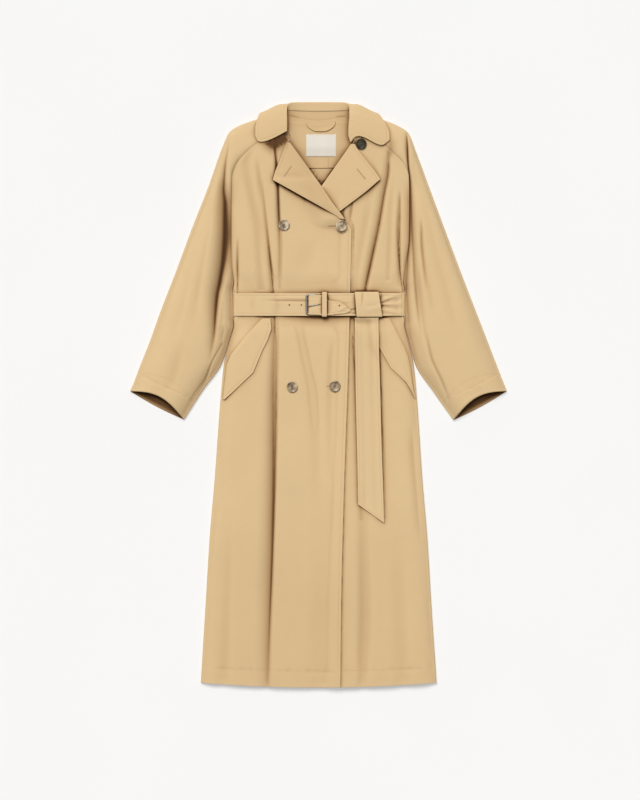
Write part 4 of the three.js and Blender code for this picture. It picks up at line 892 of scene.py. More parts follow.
SLEEVE_FOLDS = {
    -1: (
        ((470, -214, 20, 14, 0), (400, -238, 20, 16, -1.8), (300, -262, 22, 18, -3),
         (180, -292, 22, 20, -2.6),
         (60, -330, 22, 22, 0)),
        ((430, -222, 16, 14, 0), (340, -236, 16, 14, -2), (240, -252, 18, 14, -2.4), (120, -268, 18, 16, 0)),
        ((250, -206, 7, 7, 0), (200, -202, 9, 9, -2.5), (140, -204, 9, 9, -2.5), (110, -206, 8, 8, 0)),
        ((120, -290, 20, 18, 0), (60, -300, 20, 18, -2), (-10, -318, 16, 16, 0)),
    ),
    1: (
        ((470, 208, 14, 18, 0), (400, 226, 16, 20, -2.4), (300, 250, 22, 26, -3.6), (200, 276, 24, 28, -3.4),
         (90, 300, 24, 28, 0)),
        ((360, 214, 10, 10, 0), (300, 216, 10, 10, -2.5), (230, 228, 12, 12, -2.5), (150, 244, 12, 12, 0)),
        ((300, 206, 8, 8, 0), (225, 212, 8, 9, -3), (135, 222, 8, 9, -2), (90, 230, 8, 8, 0)),
    ),
}
CUFF_OPENING = 20.0


def sleeve(side, front):
    """Grid of one face of a sleeve: a round at the overarm edge, the arched or flat face, and a
    round at the underarm edge. Arch: crown times 1 - |2 share - 1|^3.6, level in the middle."""
    table = SLEEVE_ROWS[side]
    number = np.arange(len(table))
    place = np.concatenate([np.linspace(0, 4, 50), np.linspace(4, 12, 136)[1:]])[:, None]
    ox, oy, ix, iy, crown = (through(list(zip(number, [row[k] for row in table])))(place) for k in range(5))
    if not front:
        iy = np.where(iy >= 458, blend(458, 584, (iy - 458) / 91), iy)
    raglan = iy > 457.9
    seam_x = left_seam(iy) if side < 0 else right_seam(iy)
    back_x = side * back_half(iy) + (8 * ease(584, 458, iy) if side > 0 else 0)
    body_side = np.where(raglan, seam_x if front else back_x, seam_x)
    beside_belt = PUFF * ease(50, 30, np.abs(iy - BELT_MIDDLE))
    beside = side * body_side - 0.2 + beside_belt
    ix = side * blend(np.maximum(side * ix, beside), beside, ease(60, 130, iy))
    length = np.hypot(ix - ox, iy - oy)
    ux, uy = (ix - ox) / length, (iy - oy) / length
    in_roll = FOLD_RADIUS * side_roll(iy)
    seam = seam_height(iy) - (BELT_CLOTH + LAYER_GAP) * under_belt(iy)
    out_seam = 2 * FOLD_RADIUS + collar_lift(oy)
    up = 1 if front else -1
    end = ease(11, 12, place)

    def at(distance, z, way, rise):
        """A point at a distance along its row, with the cuff drawn back in an arc in front."""
        w = np.clip(distance / length, 0, 1)
        drawn = (CUFF_OPENING if front else -3) * np.sin(math.pi * w) * end
        x = ox + ux * distance - side * 0.36 * drawn
        y = oy + uy * distance + 0.9 * drawn
        z = z + (0 if front else collar_lift(y))
        return grid_of(x, y, z), grid_of(ux * way, uy * way, -up * rise)

    angle = np.radians(np.linspace(0, 80, 7))[None, :]

    def rounded(radius, share, edge, way):
        lean = math.pi / 2 - (math.pi / 2 - angle) * share
        distance = radius * (1 - np.cos(angle))
        drop = radius * (1 - np.sin(angle))
        z = edge - drop + 0.15 if front else np.maximum(drop - 0.15 * np.cos(angle), 0)
        return at(distance if way > 0 else length - distance, z, way * np.cos(lean), np.sin(lean))

    share = np.linspace(0, 1, 84 if front else 30)[None, 1:-1]
    distance = blend(FOLD_RADIUS, length - in_roll, share)
    x, y = ox + ux * distance, oy + uy * distance
    if front:
        arch = crown * (1 - np.abs(2 * share - 1) ** 3.6) * 0.86
        bell = np.sin(math.pi * share)
        folds = folds_depth(SLEEVE_FOLDS[side], x, y) + folds_depth(SLEEVE_CREASES[side], x, y, crease=True)
        z = blend(out_seam, seam, share) + arch + folds * bell ** 0.35 + slack(x, y, 1.2) * bell
        lowest = 2 * CLOTH + 3 + collar_lift(y)
        z = lowest + np.logaddexp(0, (z - lowest) * 2.5) / 2.5 + 0.15
        down = lengths_along(grid_of(x, y, z), 0)
        from_cuff = down[-1:] - down
        ripple = np.sin(x / 5.1 + y / 9) * np.sin(x / 13 - y / 7)
        doubled = ease(CUFF_TURN_UP + 1, CUFF_TURN_UP - 1, from_cuff)
        z = z + seam_pull(from_cuff, CUFF_TURN_UP, 1.3, 0.55) + 0.4 * doubled
        z = z + 0.35 * ripple * np.exp(-((from_cuff - CUFF_TURN_UP) / 12) ** 2) * bell
    else:
        z = np.zeros_like(x)
    sides = [rounded(FOLD_RADIUS, 1.0, out_seam, 1), at(distance, z, 0.0 * share, 1.0 + 0.0 * share),
             rounded(in_roll, side_roll(iy), seam, -1)]
    points = np.concatenate([sides[0][0], sides[1][0], sides[2][0][:, ::-1]], axis=1)
    inward = np.concatenate([sides[0][1], sides[1][1], sides[2][1][:, ::-1]], axis=1)
    return points, inward


sleeve_points = {}
sleeve_walls = {}
for side, word in ((-1, "left"), (1, "right")):
    for front, face in ((True, "front"), (False, "back")):
        points, inward = sleeve(side, front)
        name = f"sleeve_{face}_{word}"
        sleeve_points[name] = points
        sleeve_walls[name] = wall(name + "_cloth", points, inward, CLOTH, coat_cloth, free=("bottom",))
        if front:
            add_to_pile(points)
        print(name, points.shape, "highest", round(float(points[..., 2].max()), 1))

# %% [markdown]
# The collar runs round the neck. At the sides it lies on the shoulders; behind the neck it
# turns the other way and lies under the back, because the coat lies on its back. Its stations
# hold points on the neck seam, the stand seam, the turn and the fall, and a smooth curve runs
# through them from station to station.

# %% Collar
COLLAR_STATIONS = (  # neck seam, stand seam, turn, way that the turn opens, and three on the fall
    ((-84, 545, 17.9), (-76, 549, 17.9), (-65.5, 552.5, 20), (-1, -0.1, 0), (-80, 545.5, 22),
     (-103, 534.5, 21.8), (-128, 532.5, 21)),
    ((-90, 553, 17.7), (-77, 560, 17.9), (-65.5, 563, 20), (-1, -0.1, 0), (-80, 559, 22), (-103, 552, 21.6),
     (-133, 545, 20.6)),
    ((-98, 562, 16.4), (-78, 573, 16.8), (-65.5, 577, 18.9), (-1, -0.15, 0), (-80, 573, 21),
     (-102, 568, 20.4), (-133, 558, 19)),
    ((-100, 571, 13.8), (-80, 582, 14.4), (-66, 590, 17), (-0.97, -0.25, -0.1), (-80, 587, 19.2),
     (-101, 581, 18.5), (-131, 570, 16.8)),
    ((-97, 579, 10.2), (-76, 590, 11.2), (-66, 601, 14.2), (-0.8, -0.45, -0.35), (-79, 600, 16.2),
     (-98, 595, 15.2), (-128, 582, 14)),
    ((-84, 584.8, 7.2), (-69, 595, 8.2), (-64.5, 609.5, 10.8), (-0.4, -0.72, -0.55), (-78, 610.5, 10.6),
     (-94, 605.5, 9.4), (-122, 592.5, 7.4)),
    ((-68, 587, 5.4), (-58, 597, 6.2), (-57, 614, 7.2), (-0.1, -0.88, -0.42), (-69, 609, 3),
     (-86, 598, 0.7), (-110, 586, 0.2)),
    ((-48, 582.3, 4.3), (-45, 596.5, 4.5), (-45, 615.1, 4), (0, -0.98, -0.15), (-50, 604, 0.1),
     (-62, 582, 0), (-85, 556, 0)),
    ((-24, 576.9, 4.2), (-23, 595.8, 4.2), (-24, 615.4, 2.2), (0, -1, 0), (-26, 603, 0), (-32, 578, 0),
     (-44, 546, 0)),
    ((0, 574.8, 4.2), (0, 595.4, 4.2), (0, 615.5, 2.1), (0, -1, 0), (0, 603, 0), (0, 578, 0), (0, 541, 0)),
    ((24, 576.9, 4.2), (23, 595.8, 4.2), (24, 615.4, 2.2), (0, -1, 0), (26, 603, 0), (32, 578, 0),
     (44, 546, 0)),
    ((48, 582.3, 4.3), (45, 596.5, 4.5), (45, 615.1, 4), (0, -0.98, -0.15), (50, 604, 0.1), (62, 582, 0),
     (85, 556, 0)),
    ((68, 587, 5.4), (58, 597, 6.2), (57, 614, 7.2), (0.1, -0.88, -0.42), (69, 609, 3), (86, 598, 0.7),
     (110, 586, 0.2)),
    ((85, 584.8, 7.2), (69, 595, 8.4), (63.5, 608.5, 11.5), (0.45, -0.7, -0.5), (78, 610.5, 11.2),
     (95, 605, 10.2), (123, 592, 8.4)),
    ((98, 579, 10.2), (77, 589, 11.6), (64.5, 598, 15), (0.85, -0.4, -0.3), (79, 598, 17), (101, 592, 16.2),
     (136, 578, 15)),
    ((101, 571, 13.8), (80, 580, 15), (64.5, 583, 18.2), (1, -0.15, 0), (80, 584, 20.6), (106, 577, 19.8),
     (144, 563, 18)),
    ((99, 562, 16.6), (79, 566, 17.4), (63, 565, 20), (1, 0.05, 0), (80, 568, 22.2), (108, 562, 21.6),
     (149, 549, 20)),
    ((92, 553, 18.2), (78, 552, 18.6), (62.5, 547, 20.8), (0.97, 0.25, 0), (82, 555, 23), (108, 547, 22.6),
     (149.5, 536, 21.2)),
    ((86, 543, 18.6), (78, 539, 18.6), (66.5, 529.5, 20.8), (0.93, 0.35, 0), (82, 542, 23),
     (108, 533.5, 22.6), (139, 526, 21.6)),
)


def unit(vectors):
    """Each vector divided by its length."""
    return vectors / np.maximum(np.linalg.norm(vectors, axis=-1, keepdims=True), 1e-9)


def circle_on(one, two, angle):
    """Unit circle at every place, cos(angle) of one direction and sin(angle) of the other."""
    return one[:, None] * np.cos(angle)[None, :, None] + two[:, None] * np.sin(angle)[None, :, None]


def collar_grids():
    """Sections between stations come from a curve through each column of the table. The turn
    is a half circle in the plane of its opening and of the way over it. The fall is the cubic
    through its last point and three on the fall: each weight is 1 at its own knot."""
    count = len(COLLAR_STATIONS)
    inner = np.linspace(0, count - 1, 150)
    near = np.array([0, 0.05, 0.2, 0.45]) * 0.075
    place = np.concatenate([near, inner[1:-1], (count - 1 - near)[::-1]])
    table = np.array(COLLAR_STATIONS, dtype=float)
    number = np.arange(count)
    neck, seam, turn_at, opening, *fall_at = (
        np.stack([through(list(zip(number, table[:, k, c])))(place) for c in range(3)], axis=1)
        for k in range(table.shape[1]))
    along = unit(np.gradient(turn_at, axis=0))
    opening = unit(opening)
    over = unit(np.cross(along, opening))
    middle = turn_at + opening * COLLAR_TURN
    angle = np.radians(np.linspace(-90, -270, 11))
    turn = middle[:, None] + COLLAR_TURN * circle_on(opening, over, angle)
    lead = blend(seam[:, None], turn[:, :1], np.linspace(0, 1, 7)[None, :-1, None])
    t = np.concatenate([np.linspace(0, 0.97, 26)[1:], [0.98, 0.988, 0.994, 0.998, 1.0]])[None, :, None]
    knots = (0.0, 0.22, 0.55, 1.0)
    fall = 0
    for k, point in enumerate([turn[:, -1:]] + [at[:, None] for at in fall_at]):
        weight = np.ones_like(t)
        for other in range(4):
            if other != k:
                weight = weight * (t - knots[other]) / (knots[k] - knots[other])
        fall = fall + weight * point
    back_of_fall = np.concatenate([lead, turn, fall], axis=1)
    way = unit(neck - seam)
    stand_share = close_steps(22, 24, COLLAR_CLOTH, start=False, end=False)[None, :, None]
    stand = blend(neck[:, None], (seam + way * 0.5)[:, None], stand_share)
    return back_of_fall, stand


fall_points, stand_points = collar_grids()
across = lengths_along(fall_points, 1)
from_edge = across[:, -1:] - across
along = lengths_along(fall_points, 0)
ends = np.minimum(along, along[-1:] - along)
fall_normals = face_normals(fall_points)
press = seam_pull(np.minimum(from_edge, ends), TOPSTITCH, 1.1, 0.3)
fall_points = fall_points + fall_normals * press[:, :, None]
collar_fall = wall("collar_fall_cloth", fall_points, -fall_normals, COLLAR_CLOTH, collar_cloth,
                   free=("right", "top", "bottom"))
stand_normals = face_normals(stand_points)
collar_stand = wall("collar_stand_cloth", stand_points, -stand_normals, COLLAR_CLOTH, collar_cloth)
print("collar:", fall_points.shape, "stand:", stand_points.shape)

# %% [markdown]
# The pocket flaps, the strap's end and the tail are flat pieces of two layers, laid on what is
# below. One function lays them: it takes rows of end points, spreads them, and rests each point
# on the pile.

# %% Laying flat pieces
def laid(rows, thickness, reach, count, lift):
    """Grid of a laid piece: rows from (x0, y0) to (x1, y1) with a curve through their ends,
    each point one cloth and a gap above the bridged pile, and lift(across, down) above that."""
    table = np.array(rows, dtype=float)
    number = np.arange(len(rows))
    size = np.linalg.norm(table[0, :2] - table[-1, :2])
    down = close_steps(count[0], size, thickness) * (len(rows) - 1)
    x0, y0, x1, y1 = (np.interp(down, number, table[:, k])[:, None] for k in range(4))
    width = float(np.median(np.hypot(table[:, 2] - table[:, 0], table[:, 3] - table[:, 1])))
    share = close_steps(count[1], max(width, 20), thickness)[None, :]
    x, y = blend(x0, x1, share), blend(y0, y1, share)
    z = read_map(bridged(reach), x, y) + LAYER_GAP + thickness
    return grid_of(x, y, z + lift(share, down[:, None] / (len(rows) - 1)))


FLAP_CLOTH = 1.5
left_flap_points = laid((
    (-119, 160, -101, 160), (-132, 146, -99, 137), (-150, 126, -107, 114), (-168, 104, -119, 90),
    (-184, 84, -128, 68), (-193, 62, -137, 46), (-196, 38, -157, 27), (-199, 12, -180, 5),
    (-201, -9, -198, -11),
), FLAP_CLOTH, 7, count=(90, 40), lift=lambda share, down: 0.9 * share - 1.75 * ease(0.12, 0.0, share))
edge = lengths_along(left_flap_points, 1)
left_flap_points[..., 2] += seam_pull(edge[:, -1:] - edge, TOPSTITCH)
pocket_flap_left = wall("pocket_flap_left_cloth", left_flap_points, DOWN, FLAP_CLOTH, coat_cloth,
                        free=("right", "bottom", "left"))
right_flap_points = laid((
    (118, 160, 150, 160), (121, 132, 165, 130), (124, 106, 178, 104), (137, 83, 188, 80),
    (152, 56, 194, 52), (184, 26, 198, 22), (195, 8, 201, 5), (202, -7, 204, -8),
), FLAP_CLOTH, 7, count=(90, 40), lift=lambda share, down: 0.7 * (1 - share) - 1.75 * ease(0.88, 1.0, share))
edge = lengths_along(right_flap_points, 1)
right_flap_points[..., 2] += seam_pull(edge, TOPSTITCH)
pocket_flap_right = wall("pocket_flap_right_cloth", right_flap_points, DOWN, FLAP_CLOTH, coat_cloth,
                         free=("left", "bottom", "right"))
add_to_pile(left_flap_points)
add_to_pile(right_flap_points)
print("flaps:", left_flap_points.shape, right_flap_points.shape)

# %% [markdown]
# The belt goes round the waist: over the fronts, round both sides and under the back. It is a
# ring, so its grid closes on itself. On the right, between the knot and the side, it is
# crumpled by the pull of the knot.

# %% Belt
BELT_ROUND = 7.2
BELT_SIDE = {-1: -172.4, 1: 175.4}


def belt_ring():
    """Ring in sections across the waist: half circles at the sides, the bridged pile in
    front, and flat on the floor behind. Crumples are ridges that fan out from the knot."""
    rows = close_steps(44, BELT_HIGH - BELT_LOW, BELT_CLOTH)[:, None]
    y = blend(BELT_LOW, BELT_HIGH, rows)
    ground = bridged(9)
    turn = np.radians(np.linspace(-90, -270, 15))[None, :]
    left_x = BELT_SIDE[-1] + BELT_ROUND * np.cos(turn)
    left_z = BELT_ROUND + BELT_ROUND * np.sin(turn)
    front_x = np.linspace(BELT_SIDE[-1], BELT_SIDE[1], 230)[None, 1:-1]
    level = np.max([read_map(ground, front_x, edge + 0 * front_x)
                    for edge in (BELT_LOW, BELT_MIDDLE, BELT_HIGH)], axis=0)
    front_z = np.maximum(level, 2 * BELT_ROUND - BELT_CLOTH - LAYER_GAP) + LAYER_GAP + BELT_CLOTH
    side = ease(126, 134, front_x) * ease(183, 172, front_x)
    fan = (y - 188) / (0.4 + (front_x - 122) / 55)
    crumple = bump_at(fan, 17, 6, 2.6) + bump_at(fan, 2, 5, 2.2) + bump_at(fan, -14, 6, 1.8)
    away = ease(-130, -60, front_x) * ease(-18, -26, front_x)
    strained = bump_at(y, 203, 4, 0.9) + bump_at(y, 197, 2.2, -1.3)
    raised = 2.4 * ease(-90, -55, front_x) * ease(150, 100, front_x)
    wave = 0.35 * np.sin(front_x / 23 + y / 31)
    front_z = front_z + side * crumple + away * strained + 0.5 + raised + np.abs(wave)
    right_turn = np.radians(np.linspace(90, -90, 15))[None, :]
    right_x = BELT_SIDE[1] + BELT_ROUND * np.cos(right_turn)
    right_z = BELT_ROUND + BELT_ROUND * np.sin(right_turn)
    back_x = np.linspace(BELT_SIDE[1], BELT_SIDE[-1], 40)[None, 1:-1]
    around_waist = [left_x, front_x, right_x, back_x]
    z = [left_z + 0 * y, front_z, right_z + 0 * y, 0 * back_x + 0 * y]
    ways_x = [-np.cos(turn), 0 * front_x, -np.cos(right_turn), 0 * back_x]
    ways_z = [-np.sin(turn), 0 * front_x - 1, -np.sin(right_turn), 0 * back_x + 1]
    x, z, ways_x, ways_z = (np.concatenate(parts, axis=1) for parts in (around_waist, z, ways_x, ways_z))
    return grid_of(x, y, z), grid_of(ways_x + 0 * y, 0, ways_z)


belt_points, belt_in = belt_ring()
from_low = belt_points[..., 1] - BELT_LOW
press = seam_pull(np.minimum(from_low, BELT_HIGH - belt_points[..., 1]), BELT_STITCH, 1.0, 0.3)
belt_points = belt_points - belt_in * press[:, :, None]
belt = wall("belt_cloth", belt_points, belt_in, BELT_CLOTH, belt_cloth, free=("top", "bottom"), ring=True)
belt_front = belt_points[:, 15:244]
add_to_pile(belt_front)
print("belt:", belt_points.shape)

# %% [markdown]
# The buckle is a plain frame of round wire. The strap's end comes up through it, lies on the
# belt through the keeper, and ends in a point. The prong goes through one of its holes.

# %% Buckle and strap end
BUCKLE = {"left": -25.0, "right": -3.0, "low": 169.0, "high": 209.0, "wire": 2.2, "corner": 4.0}
buckle_z = float(read_map(bridged(9), -14.0, BELT_MIDDLE)) + 0.4 + BUCKLE["wire"]


def rod(name, path, radius, material, sides=12, ring=True, taper=None):
    """Round rod along a path: at each point a circle square to the path. A closed path joins
    its ends; an open one is closed by drawing its end circles to a point."""
    way = unit(np.roll(path, -1, 0) - np.roll(path, 1, 0)) if ring else unit(np.gradient(path, axis=0))
    up = np.array([0.0, 0.0, 1.0]) + 0 * way
    side_way = unit(np.cross(way, up))
    up = np.cross(side_way, way)
    angle = np.linspace(0, 2 * math.pi, sides, endpoint=False)
    size = np.full(len(path), float(radius)) if taper is None else radius * taper
    circle = circle_on(side_way, up, angle)
    points = path[:, None] + circle * size[:, None, None]
    quads = grid_faces(len(path), sides, rows_close=ring, cols_close=True)
    run = lengths_along(points, 0)
    uv = np.stack([np.broadcast_to(angle * radius, run.shape), run], axis=2).reshape(-1, 2)
    return to_mesh(name, points.reshape(-1, 3), quads, uv, material)


def rounded_frame(left, right, low, high, corner, z, steps=8):
    """Path round a rectangle with quarter circles at its corners."""
    centres = ((right - corner, high - corner, 0), (left + corner, high - corner, 90),
               (left + corner, low + corner, 180), (right - corner, low + corner, 270))
    arcs = [np.stack([cx + corner * np.cos(a), cy + corner * np.sin(a), np.full(steps, z)], axis=1)
            for cx, cy, start in centres for a in [np.radians(np.linspace(start, start + 90, steps))]]
    return np.concatenate(arcs)


def end_taper(count, share=0.08):
    """Sizes along an open rod: nearly 0 at both ends, rounded to full size within a share."""
    t = np.linspace(0, 1, count)
    away = np.clip(np.minimum(t, 1 - t) / share, 0, 1)
    return np.sqrt(np.clip(1 - (1 - away) ** 2, 0.0004, 1))


buckle_path = rounded_frame(*(BUCKLE[side] for side in ("left", "right", "low", "high", "corner")), buckle_z)
buckle_frame = rod("buckle_frame_wire", buckle_path, BUCKLE["wire"], plated_metal, sides=14)


def strap_end_height(x, ground):
    """Over the buckle's bars the strap stands high, then it comes down to the belt."""
    over = buckle_z + BUCKLE["wire"] - 4 * ease(3, 12, x) - 2.4 * ease(-15, -20.5, x)
    low = np.max([read_map(ground, x, np.full_like(x, y)) for y in (170.0, 189.0, 208.0)], axis=0)
    return np.maximum(over, low) + LAYER_GAP + BELT_CLOTH


def strap_end_grid():
    """Grid along the strap: its edges run level, narrow inside the buckle, and meet in a
    blunt point. Between them the cloth is a little crowned."""
    x = blend(-20.5, 68.0, close_steps(110, 88, BELT_CLOTH))[:, None]
    low = through([(-20.5, 167.5), (0, 167), (8, 165.6), (42, 168.5), (56, 170), (64, 173), (68, 175)])(x)
    high = through([(-20.5, 208), (6, 208.5), (16, 205), (22, 197.5), (45, 194), (57, 186), (64, 180),
                    (68, 177.5)])(x)
    share = close_steps(36, 44, BELT_CLOTH)[None, :]
    y = blend(low, high, share)
    z = strap_end_height(x, bridged(5)) + 0.4 * np.sin(math.pi * share)
    crease = bump_at(y - 0.2 * x, 187, 2.2, -0.9) * ease(14, 2, x)
    ridge = bump_at(y - 0.5 * (x - 50), 180, 3, 1.2) * ease(34, 52, x)
    return grid_of(x, y, z + crease + ridge)


strap_points = strap_end_grid()
across = lengths_along(strap_points, 1)
strap_points[..., 2] += seam_pull(np.minimum(across, across[:, -1:] - across), STRAP_STITCH, 1.0, 0.3)
belt_end = wall("belt_end_cloth", strap_points, DOWN, BELT_CLOTH, belt_cloth, free=FREE)
add_to_pile(strap_points)
prong_x = np.linspace(-25, 4, 26)
prong_y = blend(184.0, 190.0, (prong_x + 25) / 29)
PRONG_RADIUS = 1.0
prong_rest = np.maximum(read_map(bridged(3), prong_x, prong_y),
                        buckle_z + BUCKLE["wire"]) + 0.3 + PRONG_RADIUS
buckle_prong = rod("buckle_prong_wire", np.stack([prong_x, prong_y, prong_rest], axis=1), PRONG_RADIUS,
                   plated_metal, sides=10, ring=False, taper=end_taper(26))
print("buckle height:", round(buckle_z, 1), "strap end:", strap_points.shape)

# %% [markdown]
# The keeper is a short loop of cloth round the strap, and the knot is the long end wrapped once
# round the belt. Both are bands whose section runs up past the belt's lower edge, across the
# top and down past its upper edge.

# %% Keeper and knot
def band(left, right, thickness, top, foot, crown, count, wrinkle=lambda x, y: 0):
    """Band over the belt: its section is a flat arch with round shoulders. left and right
    give its two sides as x at the lower and at the upper belt edge."""
    low, high = BELT_LOW - 0.6 - thickness, BELT_HIGH + 0.6 + thickness
    r = 2.6
    turn = np.radians(np.linspace(180, 90, 9))
    legs = np.linspace(foot, top - r, 5)[:-1]
    y = np.concatenate([np.full(4, low), low + r + r * np.cos(turn), np.linspace(low + r, high - r, 34)[1:-1],
                        high - r - r * np.cos(turn[::-1]), np.full(4, high)])
    shoulder = top - r + r * np.sin(turn)
    z = np.concatenate([legs, shoulder, np.full(32, top), shoulder[::-1], legs[::-1]])
    share = np.clip((y - low) / (high - low), 0, 1)[None, :]
    arch = np.clip(np.sin(math.pi * share), 0, 1)
    width = close_steps(count, max(right[0] - left[0], 5), thickness)[:, None]
    x = blend(blend(left[0], left[1], share), blend(right[0], right[1], share), width)
    points = grid_of(x, y[None, :], z[None, :] + crown * arch + wrinkle(x, y[None, :]) * arch ** 0.5)
    return points, face_normals(points)


ground = bridged(9)
keeper_x = np.linspace(7.4, 17.6, 5)
keeper_top = float(strap_end_height(keeper_x, bridged(5)).max()) + LAYER_GAP + KEEPER_CLOTH + 0.2
beside_belt = [read_map(ground, keeper_x, np.full(5, y)) for y in (BELT_LOW - 3, BELT_HIGH + 3)]
keeper_foot = min(float(np.max(beside_belt)) - 0.6, 15.8)
keeper_points, keeper_normals = band((7.4, 7.4), (17.6, 17.6), KEEPER_CLOTH, keeper_top, keeper_foot, 0.5, 12)
belt_keeper = wall("belt_keeper_cloth", keeper_points, -keeper_normals, KEEPER_CLOTH, belt_cloth,
                   free=("top", "bottom"))
add_to_pile(keeper_points[:, 8:-8])


def knot_wrinkles(x, y):
    """One pressed crease near the left side and soft pulls at the right."""
    crease = bump_at(x, 91, 1.3, -1.3) * ease(176, 196, y)
    pulls = bump_at(y - 0.25 * (x - 100), 176, 6, 0.8) + bump_at(y - 0.1 * (x - 100), 186, 5, -0.7)
    return crease + pulls * ease(92, 112, x)


near_knot = (belt_front[..., 0] > 70) & (belt_front[..., 0] < 140)
belt_front_top = float(belt_front[..., 2][near_knot].max())
knot_top = belt_front_top + LAYER_GAP + 2 + 1.2
knot_points, knot_normals = band((80, 76), (134, 126), KNOT_CLOTH, knot_top, 14.0, 2.0, 44, knot_wrinkles)
belt_knot = wall("belt_knot_cloth", knot_points, -knot_normals, KNOT_CLOTH, belt_cloth,
                 free=("top", "bottom"))
print("keeper top", round(keeper_top, 1), "knot top", round(knot_top, 1))

# %% [markdown]
# The tail hangs from the knot down over the under front, two layers thick and cut slanting at
# its end. Its long edges stand up a little from the cloth below, so that a shadow runs along it.

# %% Tail
TAIL_ROWS = (
    (76, 161, 126, 161), (76.5, 130, 126.5, 130), (77, 96, 127, 95), (77.5, 50, 128.5, 48), (78, 0, 130, -4),
    (79.5, -60, 131.5, -68), (81, -120, 133.5, -135), (82.3, -180, 136, -205), (83, -231, 138, -270),
)


def tail_lift(share, down):
    """Edges stand up by 2 to 4 mm, more on the right, and the middle sags slightly."""
    right = 4.6 * ease(0.6, 1.0, share) * ease(0.03, 0.2, down) * (1 - 0.45 * down)
    left = 2.2 * ease(0.3, 0.0, share) * ease(0.0, 0.12, down)
    return right + left + 0.6 * np.sin(math.pi * share) + 0.5 * np.sin(9 * down + 2 * share)


tail_points = laid(TAIL_ROWS, BELT_CLOTH, 8, count=(180, 44), lift=tail_lift)
across = lengths_along(tail_points, 1)
down = lengths_along(tail_points, 0)
edges = np.minimum(np.minimum(across, across[:, -1:] - across), down[-1:] - down)
tail_points[..., 2] += seam_pull(edges, BELT_STITCH, 1.0, 0.3)
belt_tail = wall("belt_tail_cloth", tail_points, DOWN, BELT_CLOTH, belt_cloth,
                 free=("left", "right", "bottom"))
add_to_pile(tail_points)
print("tail:", tail_points.shape)

# %% [markdown]
# Inside the back neck: a shaped facing of the same cloth, a blank satin label sewn on it, and
# a loop for hanging the coat up.

# %% Facing, label and loop
def curve_in_space(places, count):
    """Path of count points through a few places, each coordinate a curve of its own."""
    at = np.linspace(0, len(places) - 1, count)
    return np.stack([through([(k, row[c]) for k, row in enumerate(places)])(at) for c in range(3)], axis=1)


def neck_facing():
    """Grid of the facing: its top covers the neck seam of the stand, its lower edge is nearly
    straight, and it lies on the inner face of the back."""
    down = np.linspace(0, 1, 60)[:, None]
    x = np.linspace(-78, 78, 80)[None, :]
    neck_line = through([(st[0][0], min(st[0][1], 586)) for st in COLLAR_STATIONS[5:14]])
    y = blend(neck_line(x) + 1.2, 476 + 6 * (x / 78) ** 2, down)
    z = collar_lift(np.minimum(y + 5, 586)) + 2.2 + FACING_CLOTH + 1.2 * ease(45, 70, np.abs(x))
    ripple = 0.3 * np.sin(x / 17) * np.sin(y / 23) + bump_at(y - 0.1 * np.abs(x), 566, 2.5, 0.4)
    return grid_of(x, y, z + np.abs(ripple))


facing_points = neck_facing()
back_neck_facing = wall("back_neck_facing_cloth", facing_points, DOWN, FACING_CLOTH, facing_cloth)
LABEL = {"left": -26.0, "right": 37.0, "low": 501.0, "high": 547.0}
label_x = blend(LABEL["left"], LABEL["right"], close_steps(40, 63, LABEL_CLOTH))[None, :]
label_y = blend(LABEL["high"], LABEL["low"], close_steps(30, 46, LABEL_CLOTH))[:, None]
label_bulge = 0.5 * np.sin(math.pi * (label_x - LABEL["left"]) / 63)
label_points = grid_of(label_x, label_y, collar_lift(label_y + 5) + 4.35 + label_bulge)
label = wall("label_blank", label_points, DOWN, LABEL_CLOTH, label_cloth, free=FREE)
loop_table = ((-26, 575, 6.2), (-24, 567, 7.6), (-17, 560, 7.9), (-4, 554.5, 7.9), (12, 554.5, 7.9),
              (26, 560, 7.9),
              (33, 567, 7.6), (35, 575, 6.2))
hanger_loop = rod("hanger_loop_cord", curve_in_space(loop_table, 90), 1.6, facing_cloth, sides=14,
                  ring=False, taper=end_taper(90, 0.02))
print("label, mm:", LABEL["right"] - LABEL["left"], "by", LABEL["high"] - LABEL["low"])

# %% [markdown]
# A coat button is turned: a raised rim round a sunk middle with four holes. Its face is a polar
# grid whose height is the turned profile, lowered inside each hole. A cross of thread holds it.

# %% Buttons
HOLE_CIRCLE = 1.75
QUARTERS = np.array([0, 90, 180, 270])


